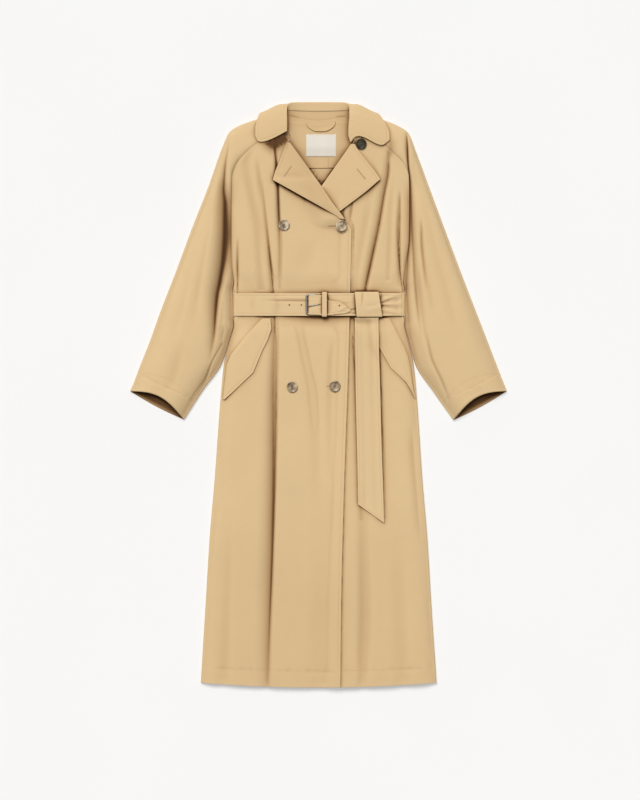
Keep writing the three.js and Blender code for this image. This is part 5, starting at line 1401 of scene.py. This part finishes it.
def button(name, x, y, radius, thickness, turned, material):
    """Polar grid: the profile gives the height over the distance from the middle, and each
    hole lowers it by a steep bell. The underside is a slightly smaller disc."""
    z0 = float(read_map(bridged(int(radius)), x, y)) + 0.4
    r = np.array([0.02, 0.5, 0.9, 1.2, 1.45, 1.7, 1.95, 2.2, 2.45, 2.7, 2.95, 3.2, 3.5, 4.2, 5.2, 6.2])
    rim = radius - np.array([4.0, 3.6, 3.2, 2.8, 2.4, 2.0, 1.5, 1.0, 0.6, 0.3, 0.1, 0.0, 0.0, 0.3, 1.2])
    r = np.concatenate([r[r < rim[0] - 0.3], rim])
    dish = thickness - 1.75
    high = through([(0, dish), (radius - 4.4, dish), (radius - 3.2, dish + 0.35),
                    (radius - 2.3, thickness - 0.15), (radius - 1.6, thickness)])(r)
    last = len(r)
    high[last - 7:last - 3] = thickness * np.array([0.965, 0.88, 0.75, 0.6])
    high[last - 3:] = thickness * np.array([0.35, 0.15, 0.0])
    angle = np.linspace(0, 2 * math.pi, 72, endpoint=False)[:, None]
    px, py = r[None, :] * np.cos(angle), r[None, :] * np.sin(angle)
    top = np.broadcast_to(high, px.shape)
    holes = [(HOLE_CIRCLE * math.cos(a), HOLE_CIRCLE * math.sin(a))
             for a in np.radians(turned + 45 + QUARTERS)]
    for hx, hy in holes:
        top = top - ease(1.05, 0.6, np.hypot(px - hx, py - hy))
    points = grid_of(x + px, y + py, z0 + top)
    n, m = points.shape[:2]
    ring = np.arange(n)
    after = (ring + 1) % n
    top_cap = np.stack([ring * m, after * m, np.full(n, n * m)], 1)
    low_cap = np.stack([after * m + m - 1, ring * m + m - 1, np.full(n, n * m + 1)], 1)
    mesh = bpy.data.meshes.new(name)
    corners = np.concatenate([points.reshape(-1, 3), [[x, y, z0 + dish], [x, y, z0]]]) / 1000
    faces = [*grid_faces(n, m, rows_close=True).tolist(), *top_cap.tolist(), *low_cap.tolist()]
    mesh.from_pydata(corners.tolist(), [], faces)
    return keep_piece(name, mesh, material), z0, holes


BUTTONS = {  # x, y, radius, thickness, how far it is turned in degrees, material
    "button_upper_left": (-72, 356, 11.75, 3.4, 12, button_horn),
    "button_upper_right": (48, 354, 11.75, 3.4, -8, button_horn),
    "button_lower_left": (-55, 16, 11.75, 3.4, 5, button_horn),
    "button_lower_right": (34.5, 17.5, 11.75, 3.4, 20, button_horn),
    "button_throat": (89.5, 526, 11.5, 2.6, 0, throat_horn_with_painted_shade),
}
button_pieces = {name: button(name + "_horn", *row) for name, row in BUTTONS.items()}
print("buttons:", len(button_pieces))

# %% [markdown]
# Topstitching shows as a row of short raised stitches. Each stitch is a little spindle with
# five sides, and all stitches of a seam are computed together and form one mesh. The rows run
# at a constant distance from an edge, read off the panel's own grid.

# %% Stitches
def inset_line(points, inset, side="right", trim=0.0):
    """Line on a grid at a constant distance, along the cloth, from one of its borders. trim
    cuts off that much of both ends."""
    if side in ("top", "bottom"):
        points = points.transpose(1, 0, 2)
    if side in ("left", "top"):
        points = points[:, ::-1]
    across = lengths_along(points, 1)
    away = across[:, -1:] - across
    row = np.arange(len(points))
    after = np.maximum(np.argmax(away <= inset, axis=1), 1)
    far, near = away[row, after - 1], away[row, after]
    line = blend(points[row, after - 1], points[row, after], ((far - inset) / (far - near))[:, None])
    run = lengths_along(line[:, None], 0)[:, 0]
    return line[(run >= trim) & (run <= run[-1] - trim)]


def spindles(starts, ends, radius):
    """Thread from each start to each end: five-sided rings at 0, 20, 80 and 100% of the way,
    the outer two thinner, and a pole at both tips."""
    count = len(starts)
    way = unit(ends - starts)
    side_way = unit(np.cross(way, [0.0, 0.0, 1.0]))
    up = np.cross(way, side_way)
    angle = np.linspace(0, 2 * math.pi, 5, endpoint=False)
    circle = circle_on(side_way, up, angle)
    rings = [blend(starts, ends, share)[:, None] + circle * radius * size
             for share, size in ((0.0, 0.5), (0.2, 1.0), (0.8, 1.0), (1.0, 0.5))]
    tips = [(starts - way * radius * 0.4)[:, None], (ends + way * radius * 0.4)[:, None]]
    points = np.concatenate(rings + tips, axis=1).reshape(-1, 3)
    j = np.arange(5)
    k = (j + 1) % 5
    quads = [np.stack([a * 5 + j, a * 5 + k, (a + 1) * 5 + k, (a + 1) * 5 + j], 1) for a in range(3)]
    caps = [np.stack([k, j, np.full(5, 20)], 1), np.stack([15 + j, 15 + k, np.full(5, 21)], 1)]
    base = (np.arange(count) * 22)[:, None, None]
    quads, caps = (np.concatenate(faces)[None] + base for faces in (quads, caps))
    return points, quads.reshape(-1, 4), caps.reshape(-1, 3)


def thread_piece(name, groups, material):
    """One mesh from groups of (starts, ends, radius)."""
    made = [spindles(np.asarray(a, dtype=float), np.asarray(b, dtype=float), r) for a, b, r in groups]
    offset = np.cumsum([0] + [len(points) for points, quads, caps in made])
    points = np.concatenate([m[0] for m in made])
    faces = [f for m, first in zip(made, offset) for part in m[1:] for f in (part + first).tolist()]
    mesh = bpy.data.meshes.new(name)
    mesh.from_pydata((points / 1000).tolist(), [], faces)
    layer = mesh.uv_layers.new(name="UVMap")
    corner = np.array([i for face in faces for i in face])
    layer.data.foreach_set("uv", (points[corner, :2] / 1000).astype(np.float32).ravel())
    return keep_piece(name, mesh, material)


def seam_stitches(line, pitch=3.2, length=2.3, radius=0.28, rise=0.05):
    """Starts and ends of the stitches along a line, a pitch apart by its running length. A
    line shorter than two stitches gets none."""
    if len(line) < 2:
        return np.zeros((0, 3)), np.zeros((0, 3)), radius
    run = lengths_along(line[:, None], 0)[:, 0]
    start = np.arange(pitch, run[-1] - pitch, pitch)
    at = [np.stack([np.interp(where, run, line[:, c]) for c in range(3)], axis=1) + (0, 0, rise)
          for where in (start, start + length)]
    return at[0], at[1], radius


def leaf_lines(points, inset, turn_at=14.0):
    """The three stitch lines round a lapel's leaf."""
    leaf = points[:, lengths_along(points, 1).mean(axis=0) > turn_at]
    return [inset_line(leaf, inset, side, inset) for side in ("right", "top", "bottom")]


SEAM_LINES = {
    "front_stitches": [inset_line(grid, at, side, 30) for grid in (over_points, under_points)
                       for at, side in ((TOPSTITCH, "right"), (HEM_TURN_UP, "bottom"))],
    "lapel_stitches": [line for grid in (left_lapel_points, right_lapel_points)
                       for line in leaf_lines(grid, TOPSTITCH)],
    "collar_stitches": [inset_line(grid, TOPSTITCH, side, 6) for grid, side in (
        (fall_points, "right"), (fall_points[:, 20:], "top"), (fall_points[:, 20:], "bottom"))],
    "flap_stitches": [inset_line(left_flap_points, TOPSTITCH, "right", 6),
                      inset_line(right_flap_points, TOPSTITCH, "left", 6)],
    "belt_stitches": [inset_line(grid, at, side, trim) for grid, at, side, trim in (
        (belt_front, BELT_STITCH, "top", 0), (belt_front, BELT_STITCH, "bottom", 0),
        (strap_points, STRAP_STITCH, "left", 5), (strap_points, STRAP_STITCH, "right", 5),
        (tail_points, BELT_STITCH, "left", 5), (tail_points, BELT_STITCH, "right", 5),
        (tail_points, BELT_STITCH, "bottom", 5))],
    "sleeve_stitches": [inset_line(sleeve_points[name][:, 8:-8], CUFF_TURN_UP, "bottom")
                        for name in ("sleeve_front_left", "sleeve_front_right")],
}
seam_thread = [thread_piece(name, [seam_stitches(line) for line in lines], coat_thread)
               for name, lines in SEAM_LINES.items()]
label_lines = [inset_line(label_points, 1.6, side, 1.6) for side in FREE]
seam_thread.append(thread_piece(
    "label_stitches", [seam_stitches(line, 2.2, 1.5, 0.16) for line in label_lines], coat_thread))
print("rows of stitches:", len(seam_thread))

# %% [markdown]
# A buttonhole is a slit whose two lips are covered by close satin stitches, with a bar across
# each end. The belt's holes are small eyelets, each with a dark disc of painted shade in its
# middle, and a button is sewn on with a cross of thread.

# %% Buttonholes, eyelets and button thread
def on_pile(x, y, above):
    """Points at a height above the pile."""
    x, y = np.broadcast_arrays(np.asarray(x, dtype=float), np.asarray(y, dtype=float))
    return np.stack([x, y, read_map(smooth_pile, x, y) + above], axis=-1)


def buttonhole(start, end, lip=1.3, pitch=0.62):
    """Satin stitches square to the slit on both sides of it, and a bar at both ends."""
    start, end = np.array(start, dtype=float), np.array(end, dtype=float)
    long = np.linalg.norm(end - start)
    along = (end - start) / long
    square = np.array([-along[1], along[0]])
    at = start + along * np.arange(0, long, pitch)[:, None]
    groups = []
    for way in (-1, 1):
        a, b = at + way * 0.15 * square, at + way * lip * square
        groups.append((on_pile(*a.T, 0.0), on_pile(*b.T, -0.05), 0.28))
    tips = np.stack([start, end])
    a, b = tips - square * lip, tips + square * lip
    groups.append((on_pile(*a.T, 0.1), on_pile(*b.T, 0.1), 0.35))
    return groups


smooth_pile = averaged(pile, 1)
HOLES = (((-71.8, 457.6), (-57.1, 479.0)), ((80.9, 473.6), (98.3, 452.2)), ((21, 353.5), (36.5, 354)),
         ((17, 17.5), (23, 17.5)))
buttonholes = thread_piece(
    "buttonhole_stitches", [group for ends in HOLES for group in buttonhole(*ends)], buttonhole_thread)


def eyelet(name, x, y):
    """A stitched ring round a belt hole."""
    angle = np.linspace(0, 2 * math.pi, 20, endpoint=False)
    middle = on_pile(x, y, 0.1)
    path = middle + 1.25 * np.stack([np.cos(angle), np.sin(angle), 0 * angle], axis=1)
    return rod(name, path, 0.55, dark_thread_and_hole_shade, sides=8)


def lens(name, x, y, radius, material):
    """Flat closed disc: height 0.25 (1 - (r / radius)^2) above and the same below."""
    angle = np.linspace(0, 2 * math.pi, 24, endpoint=False)[:, None]
    r = radius * np.array([0.02, 0.35, 0.7, 0.92, 1.0, 0.92, 0.7, 0.35, 0.02])[None, :]
    high = 0.25 * (1 - (r / radius) ** 2) * np.array([1, 1, 1, 1, 0, -1, -1, -1, -1])[None, :]
    x0, y0, z0 = on_pile(x, y, 0.1)
    points = grid_of(x0 + r * np.cos(angle), y0 + r * np.sin(angle), z0 + high)
    flat = points.reshape(-1, 3)
    return to_mesh(name, flat, grid_faces(*points.shape[:2], rows_close=True), flat[:, :2], material)


EYELETS = ((-61.3, 188.0), (-36.0, 188.0), (43.7, 186.5))
eyelets = [eyelet(f"belt_hole_{k}", x, y) for k, (x, y) in enumerate(EYELETS)]
# Painted shade: a dark disc in the middle of each belt hole.
eyelets += [lens(f"belt_hole_painted_shade_{k}", x, y, 1.0, dark_thread_and_hole_shade) for k, (x, y) in enumerate(EYELETS)]
cross = []
beside = [[0.25, 0, 0], [0.25, 0, 0.1], [-0.25, 0, 0], [-0.25, 0, 0.1]]
for name, (x, y, radius, thickness, turned, material) in BUTTONS.items():
    piece, z0, holes = button_pieces[name]
    at = np.array([[x + hx, y + hy, z0 + thickness - 1.5] for hx, hy in holes])
    cross.append((at[[0, 1, 0, 1]] + beside, at[[2, 3, 2, 3]] + beside, 0.3))
button_thread = thread_piece("button_sewing", cross, dark_thread_and_hole_shade)
HOOK = ((-66, 549, 23.2), (-62, 547, 22.4), (-60, 543, 21.6), (-60, 538, 21.2), (-62, 534, 21.0),
        (-65, 533, 21.0))
neck_hook = rod("neck_hook_wire", curve_in_space(HOOK, 24), 0.7, plated_metal, sides=8, ring=False,
                taper=end_taper(24, 0.06))
small_pieces = seam_thread + [buttonholes, button_thread, neck_hook] + eyelets
print("small pieces:", len(small_pieces))

# %% [markdown]
# Now that every layer lies in its place, the pile tells how hollow each spot is: how far it
# lies below the average of the cloth around it. Three distances count, because a fine crease
# and a broad valley both keep light out. This shade is painted into the cloth's colour. Where
# a crease or the gap beside a layer goes in deeper than a lying wall can, a table adds the
# rest. The tables also paint the shadows under the collar leaves, round the throat button,
# under the right lapel's edge and under the belt, a broad shade on the left lapel and a
# darkening of the fronts towards the hem. Only faces that look up get the value.

# %% Painted shade in hollows and shadows
for points in (fall_points, stand_points, knot_points, facing_points):
    add_to_pile(points)


HOLLOW_REACHES = (4, 9, 20)
around = [averaged(averaged(pile, reach), max(reach // 2, 1)) for reach in HOLLOW_REACHES]


# Painted shade and painted shadows, in the columns of the folds: creases, gaps beside layers and beside the
# tail's edges, shadows under the collar leaves, round the throat button, under the right lapel's edge and
# under the belt, and the dark mouths of the cuffs.
FRONT_GAPS = (
    ((535, -93, 4, 3, 0), (515, -92, 5, 3, -9), (490, -90, 5, 3, -12), (465, -88, 4, 3, -12)),
    ((446, -86.5, 4, 3, -9), (400, -83.5, 6, 4, -13), (350, -82, 6, 3.5, -10), (300, -81.5, 6, 4, -5),
     (225, -81.5, 7, 5, -4)),
    ((400, -118, 4, 3, 0), (341, -110, 4, 3, -3), (278, -100.8, 4, 3, -8), (240, -97, 4, 3, -10),
     (211, -94.7, 4, 3, -10)),
    ((430, 137, 6, 4, 0), (324, 118.5, 6, 4, -2), (270, 108, 6, 3, -5), (240, 101, 5, 3, -9),
     (211, 95, 4, 3, -10)),
    ((400, 167.5, 7, 4, 0), (360, 166, 8, 4, -6), (324, 166.5, 7, 4, -9), (262, 171.5, 5, 3.5, -12),
     (215, 177, 4, 3.5, -12)),
    ((330, -169, 4, 3, 0), (290, -169.5, 4, 3, -6), (211, -170.5, 4, 3.5, -11)),
    ((368, 65, 4, 4, 0), (362, 69, 4, 4, -7), (350, 73, 3.5, 4, -12), (330, 73.5, 3.5, 4, -10),
     (300, 73, 3, 3.5, -6), (215, 72, 3, 3, -4)),
    ((398, 57, 6, 5, -6), (388, 54, 8, 5, -12), (374, 51, 6, 4, -12), (366, 50, 4, 3, 0)),
    ((168, -92, 5, 4, -13), (135, -91.5, 6, 4, -10), (104, -88, 20, 3.5, -5), (-11, -88, 40, 3.5, -6.5),
     (-180, -91, 44, 4, -5.5), (-347, -97, 44, 5, -3.5), (-515, -103, 36, 8, -3), (-600, -105, 30, 14, -2),
     (-625, -105, 30, 14, -2)),
    ((135, 72, 5, 6, 0), (120, 72, 6, 6, -12), (60, 75, 10, 6, -12), (-50, 81, 15, 8, -11),
     (-200, 88, 16, 10, -9),
     (-265, 90, 12, 10, -4)),
    ((108, 126, 4, 5, 0), (90, 128, 5, 6, -12), (66, 130, 5, 6, -13), (-53, 134, 6, 7, -11),
     (-150, 137, 6, 8, -8), (-260, 139, 6, 8, -5)),
    ((545, 146, 8, 24, 0), (528, 151, 12, 25, -8), (512, 150, 12, 25, -9), (492, 146, 10, 22, 0)),
)
FRONT_LEVEL = (
    ((-60, 552, 40, 14, 0), (-66, 549, 46, 14, -29), (-81, 540, 46, 14, -33), (-98, 531, 42, 14, -25),
     (-112, 527, 28, 12, -11), (-125, 526, 20, 12, 0)),
    ((100, 532, 8, 6, 0), (94, 533, 16, 8, -13), (84, 533, 22, 8, -24), (74, 528, 18, 8, -24),
     (68, 525, 8, 6, -13), (62, 523, 5, 4, 0)),
    ((132, 452, 10, 8, 0), (124, 446, 22, 8, -11), (110, 434, 26, 8, -12), (92, 419, 20, 8, -9),
     (76, 407, 14, 8, -7), (60, 396, 10, 8, 0)),
    ((84, 168, 22, 6, 0), (70, 167, 26, 6, -13), (-20, 167, 30, 6, -16), (-60, 168, 22, 6, -12),
     (-96, 168, 12, 6, -6), (-150, 168, 7, 5, -3), (-180, 168, 5, 5, 0)),
)
SLEEVE_GAPS = {
    -1: (
        ((458, -204, 16, 20, 0), (425, -200, 30, 80, -5), (400, -197, 40, 120, -7),
         (340, -194, 42, 120, -7.5),
         (290, -197, 40, 60, -6), (250, -204, 36, 30, -5), (210, -211, 32, 20, -4.5),
         (168, -215, 28, 14, -4.5),
         (127, -218, 22, 11, -4.5), (95, -222, 16, 9, -3), (75, -226, 12, 8, 0)),
        ((112, -201, 4, 3, 0), (104, -204, 5, 3, -7), (68, -224, 5, 3, -7), (40, -234, 6, 4, -5),
         (0, -262, 6, 5, -4), (-46, -288, 5, 4, 0)),
    ),
    1: (
        ((556, 184, 4, 4, 0), (535, 186, 4, 4, -12), (485, 188.5, 4, 5, -13), (440, 191, 4, 10, -13),
         (330, 190, 4, 13, -13), (278, 187, 4, 12, -12), (225, 184, 4, 12, -10), (150, 190, 4, 12, -6),
         (110, 194, 4, 10, 0)),
        ((545, 146, 8, 24, 0), (528, 151, 12, 25, -8), (512, 150, 12, 25, -9), (492, 146, 10, 22, 0)),
    ),
}
CUFF_LEVEL = {
    side: (((side * 402, 8, 40, 40, -8), (side * 388, 6, 50, 50, -12), (side * 340, -16, 60, 60, -13),
            (side * 300, -38, 60, 60, -12), (side * 270, -54, 40, 40, -8))[::side],)
    for side in (-1, 1)
}
KNOT_GAPS = (((214, 92.4, 2.5, 2.5, -10), (205, 92.4, 2.5, 2.5, -8), (190, 92.6, 2.5, 2.5, 0)),)
BELT_GAPS = (
    ((212, 131, 4, 8, -13), (200, 131, 4, 10, -12), (192, 132, 4, 6, -5), (186, 133, 4, 8, -13),
     (178, 134, 4, 6, -4)),
)
BELT_LEVEL = (
    ((168, 206, 4, 4, 0), (155, 202, 5, 4, -6), (140, 196, 6, 4, -10), (132, 192, 6, 4, -12)),
    ((175, 185, 3, 3, 0), (150, 186, 4, 4, -5), (133, 188, 4, 4, -11)),
    ((68, 193, 3, 3, 0), (60, 192.5, 3, 3, -6), (20, 195, 3, 3, -9)),
    ((82, 181.5, 5, 4, -13), (64, 177.5, 5, 3, -13), (50, 172, 4, 3, -9), (44, 170, 3, 3, 0)),
    ((82, 171, 4, 2.5, -13), (66, 171, 3, 2.5, -10), (54, 171, 3, 2.5, 0)),
    ((-20, 196, 3, 3, -9), (-50, 196.5, 3, 3, -8), (-80, 197.5, 3, 3, -4), (-120, 198, 3, 3, 0)),
)
NECK_LEVEL = (
    ((68, 583, 5, 3, -11), (50, 585.5, 5, 3, -10), (40, 585, 4, 3, -8), (34, 582, 3, 3, 0)),
    ((-34, 579, 3, 3, 0), (-44, 583, 4, 3, -6), (-54, 586, 5, 3, -10), (-68, 586, 5, 3, -12)),
    ((74, 602, 60, 60, -3.4), (-74, 602, 60, 60, -3.4)),
)
BESIDE_EDGE = tuple((y, float(over_edge(y)) + 0.6, 3, 7, depth) for y, depth in (
    (165, -5), (104, -9), (-53, -10), (-180, -10), (-347, -10), (-515, -8), (-625, -7)))
LAPEL_LEVEL = (((-60, 552, 40, 14, 0), (-66, 549, 44, 14, -16), (-81, 540, 44, 14, -18),
                (-98, 531, 36, 14, 0)),)
# Painted shade: a broad darkening of the left lapel, and of the fronts towards the hem.
LAPEL_SHADE = (((545, -40, 160, 160, -3.2), (370, 0, 160, 160, -3.2)),)
HEM_SHADE = ((-220, 0, 2000, 2000, 0), (-400, 0, 2000, 2000, -1.6), (-640, 0, 2000, 2000, -2.0))
NECK_GAPS = (((500, 21.5, 3, 2.5, 0), (496, 21.5, 3, 2.5, -5), (478, 21, 3, 2.5, -5), (474, 21, 3, 2.5, 0)),)
DEEPEST, CREASE_SHARE = 13.0, 0.4
HOLLOW_LOSS, DEEP_LOSS, DEEP_POWER = 0.8, 0.93, 1.2


def paint_hollow_shade(piece, creases=(), upright=(), level=()):
    """Painted shade for the cloth's colour: 1 - product of (1 - 0.8 (mean - z) / reach), for
    faces whose normal looks up. In a crease or gap the cloth goes in deeper than the wall can,
    and its depth / 13 adds to that; the tables also paint shadows. upright gaps have their
    spine over y, level ones over x."""
    mesh = piece.data
    count = len(mesh.vertices)
    place = np.empty(count * 3, dtype=np.float32)
    mesh.vertices.foreach_get("co", place)
    normal = np.empty(count * 3, dtype=np.float32)
    mesh.vertex_normals.foreach_get("vector", normal)
    x, y, z = place.reshape(-1, 3).astype(float).T * 1000
    light = np.ones(count)
    for reach, field in zip(HOLLOW_REACHES, around):
        light = light * (1 - np.clip(HOLLOW_LOSS * (read_map(field, x, y) - z) / reach, 0, 0.9))
    deep = folds_depth(creases, x, y, crease=True) * CREASE_SHARE
    deep = deep + folds_depth(upright, x, y, crease=True) + folds_depth(level, y, x, crease=True)
    light = light * (1 - DEEP_LOSS * np.clip(-deep / DEEPEST, 0, 1) ** DEEP_POWER)
    painted_shade = (1 - light) * ease(-0.1, 0.35, normal.reshape(-1, 3)[:, 2])
    if piece in (collar_stand, back_neck_facing):
        painted_shade = np.minimum(painted_shade, 0.35 + 0.4 * painted_shade)
    # The painted shade is stored on the mesh, where the cloth materials read it for their colour.
    mesh.attributes.new("painted_shade", "FLOAT", "POINT").data.foreach_set("value", painted_shade.astype(np.float32))


# The tables that paint shade on each piece.
CREASES_OF = {  # creases of the wall, upright gaps, level gaps
    front_over: (BODY_CREASES, FRONT_GAPS + (HEM_SHADE,), FRONT_LEVEL),
    front_under: (BODY_CREASES, FRONT_GAPS + (HEM_SHADE, BESIDE_EDGE), FRONT_LEVEL),
    **{sleeve_walls[f"sleeve_front_{word}"]: (SLEEVE_CREASES[side], SLEEVE_GAPS[side], FRONT_LEVEL[:1])
       for side, word in ((-1, "left"), (1, "right"))},
    **{sleeve_walls[f"sleeve_back_{word}"]: ((), (), CUFF_LEVEL[side]) for side,
       word in ((-1, "left"), (1, "right"))},
    lapel_left: ((), LAPEL_SHADE, LAPEL_LEVEL), belt: ((), BELT_GAPS, BELT_LEVEL), belt_knot: ((), KNOT_GAPS),
    back_neck_facing: ((), NECK_GAPS, NECK_LEVEL), collar_stand: ((), (), NECK_LEVEL),
}
for piece in coat_pieces:
    paint_hollow_shade(piece, *CREASES_OF.get(piece, ()))
print("pieces with hollows:", len(coat_pieces))

# %% [markdown]
# The pieces now ride on the coat's one body and stand for their CAD nodes, whose solids are
# hidden.

ROOT = "root"
WORN = {  # node: piece, slot
    "back": (back, "coat_cloth"), "front_over": (front_over, "coat_cloth"),
    "front_under": (front_under, "coat_cloth"),
    "lapel_left": (lapel_left, "collar_cloth"), "lapel_right": (lapel_right, "collar_cloth"),
    "collar_fall": (collar_fall, "collar_cloth"), "collar_stand": (collar_stand, "collar_cloth"),
    "pocket_flap_left": (pocket_flap_left, "coat_cloth"),
    "pocket_flap_right": (pocket_flap_right, "coat_cloth"),
    "belt": (belt, "belt_cloth"), "belt_end": (belt_end, "belt_cloth"),
    "belt_keeper": (belt_keeper, "belt_cloth"),
    "belt_knot": (belt_knot, "belt_cloth"), "belt_tail": (belt_tail, "belt_cloth"),
    "buckle_frame": (buckle_frame, "buckle_metal"), "buckle_prong": (buckle_prong, "buckle_metal"),
    "back_neck_facing": (back_neck_facing, "facing_cloth"), "label": (label, "label_cloth"),
    "hanger_loop": (hanger_loop, "facing_cloth"),
    **{name: (piece, "coat_cloth") for name, piece in sleeve_walls.items()},
    **{name: (made[0], "button_horn") for name, made in button_pieces.items()},
}
for node, (piece, slot_name) in WORN.items():
    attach(piece, ROOT)
    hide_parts(node)
for piece in small_pieces:
    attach(piece, ROOT)
print("pieces that stand for nodes:", len(WORN), "small pieces:", len(small_pieces))

# %% [markdown]
# The size of each cloth piece's cut is measured and printed. A panel that only lies is as large
# as its cut, so the size is measured on the panel's own grid: the longest way across, the
# longest way down and the area between its threads.

def cut_size(points, ring=False):
    """Width, length and area of a grid in metres. A cell's area is half the length of the
    cross product of its diagonals; a ring is measured all the way round."""
    if ring:
        points = np.concatenate([points, points[:, :1]], axis=1)
    across, down = lengths_along(points, 1)[:, -1], lengths_along(points, 0)[-1]
    one = points[1:, 1:] - points[:-1, :-1]
    two = points[1:, :-1] - points[:-1, 1:]
    area = 0.5 * np.linalg.norm(np.cross(one, two), axis=2).sum()
    width, length = float(across.max()), float(down.max())
    return width / 1000, length / 1000, float(min(area, 1.0009 * width * length)) / 1e6


CLOTHS = (  # node, grid, what it lies on
    ("back", back_points, "belt"), ("front_under", under_points, "back"),
    ("front_over", over_points, "front_under"), ("lapel_left", left_lapel_points, "front_over"),
    ("lapel_right", right_lapel_points, "front_under"), ("collar_fall", fall_points, "front_over"),
    ("collar_stand", stand_points, "back"), ("pocket_flap_left", left_flap_points, "front_over"),
    ("pocket_flap_right", right_flap_points, "front_under"), ("belt", belt_points, "front_over"),
    ("belt_end", strap_points, "belt"), ("belt_keeper", keeper_points, "belt"),
    ("belt_knot", knot_points, "belt"), ("belt_tail", tail_points, "front_under"),
    ("back_neck_facing", facing_points, "back"), ("label", label_points, "back_neck_facing"),
    *((name, grid, "belt") for name, grid in sleeve_points.items()),
)
for node, grid, below in CLOTHS:
    width, length, area = cut_size(grid, ring=node == "belt")
    print(f"{node}: {width * 1000:.0f} x {length * 1000:.0f} mm, {area:.4f} m2")

# %% [markdown]
# A plain pale floor, a broad light from the upper left with a weaker one from higher up on
# the right, and a camera straight above. The broad light stands at two thirds of a right angle.
# The floor glows a little, as a lit table does, which keeps the shadows beside the coat faint.

# %% Floor and light
floor_mesh = bpy.data.meshes.new("floor")
FLOOR_HALF, FLOOR_DROP = 8, 0.0004
floor_mesh.from_pydata([(x * FLOOR_HALF, y * FLOOR_HALF, -FLOOR_DROP)
                        for x, y in ((-1, -1), (1, -1), (1, 1), (-1, 1))], [], [(0, 1, 2, 3)])
floor = bpy.data.objects.new("floor", floor_mesh)
bpy.context.scene.collection.objects.link(floor)
floor_material, floor_uv, floor_place, floor_feed = new_material(
    "floor_paper", Roughness=0.9, Specular_IOR_Level=0.1, Emission_Strength=0.36)
floor_feed("Base Color", floor_place.noise(3.0, 2.0).mixed((0.58, 0.58, 0.58), (0.60, 0.60, 0.60)))
floor_mesh.materials.append(floor_material)


def far_light(name, azimuth, elevation, strength, softness, colour=(1.0, 1.0, 1.0)):
    """Parallel light from a direction over the floor, in degrees; softness is its disc's."""
    data = bpy.data.lights.new(name, "SUN")
    data.energy, data.angle, data.color = strength, math.radians(softness), colour
    lamp = bpy.data.objects.new(name, data)
    bpy.context.scene.collection.objects.link(lamp)
    lamp.rotation_euler = (0, math.radians(90 - elevation), math.radians(azimuth))
    return lamp


far_light("window_light", 112, 60, 2.40, 28, (1.0, 0.985, 0.96))
far_light("ceiling_light", 60, 70, 0.35, 40)
world = bpy.data.worlds.new("studio")
bpy.context.scene.world = world
world.use_nodes = True
world.node_tree.nodes["Background"].inputs[0].default_value = (1.0, 0.99, 0.97, 1.0)
world.node_tree.nodes["Background"].inputs[1].default_value = 0.22
bpy.context.scene.view_settings.view_transform = "Standard"
print("lights:", len(bpy.data.lights))

# %% [markdown]
# The camera has a long lens, so the coat is seen almost without perspective, as in a catalogue
# picture. Its height and lens give 2.1 mm of coat for each pixel.

# %% Camera
MM_PER_PIXEL = 2.1
FRAME_HEIGHT = 800 * MM_PER_PIXEL / 1000
CAMERA_HEIGHT, FILM = 7.0, 36
camera_data = bpy.data.cameras.new("camera")
camera_data.sensor_width = FILM
camera_data.lens = FILM * (CAMERA_HEIGHT - BODY_HEIGHT / 1000) / FRAME_HEIGHT
camera_data.clip_end = 50
camera = bpy.data.objects.new("camera", camera_data)
camera.location = (0.00315, -0.01155, CAMERA_HEIGHT)
bpy.context.scene.collection.objects.link(camera)
bpy.context.scene.camera = camera
print("lens, mm:", round(camera_data.lens, 1))

# %% Finish
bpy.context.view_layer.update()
triangles = [len(piece.data.loops) - 2 * len(piece.data.polygons) for piece in coat_pieces]
print("triangles:", sum(triangles), "in the largest piece:", max(triangles))
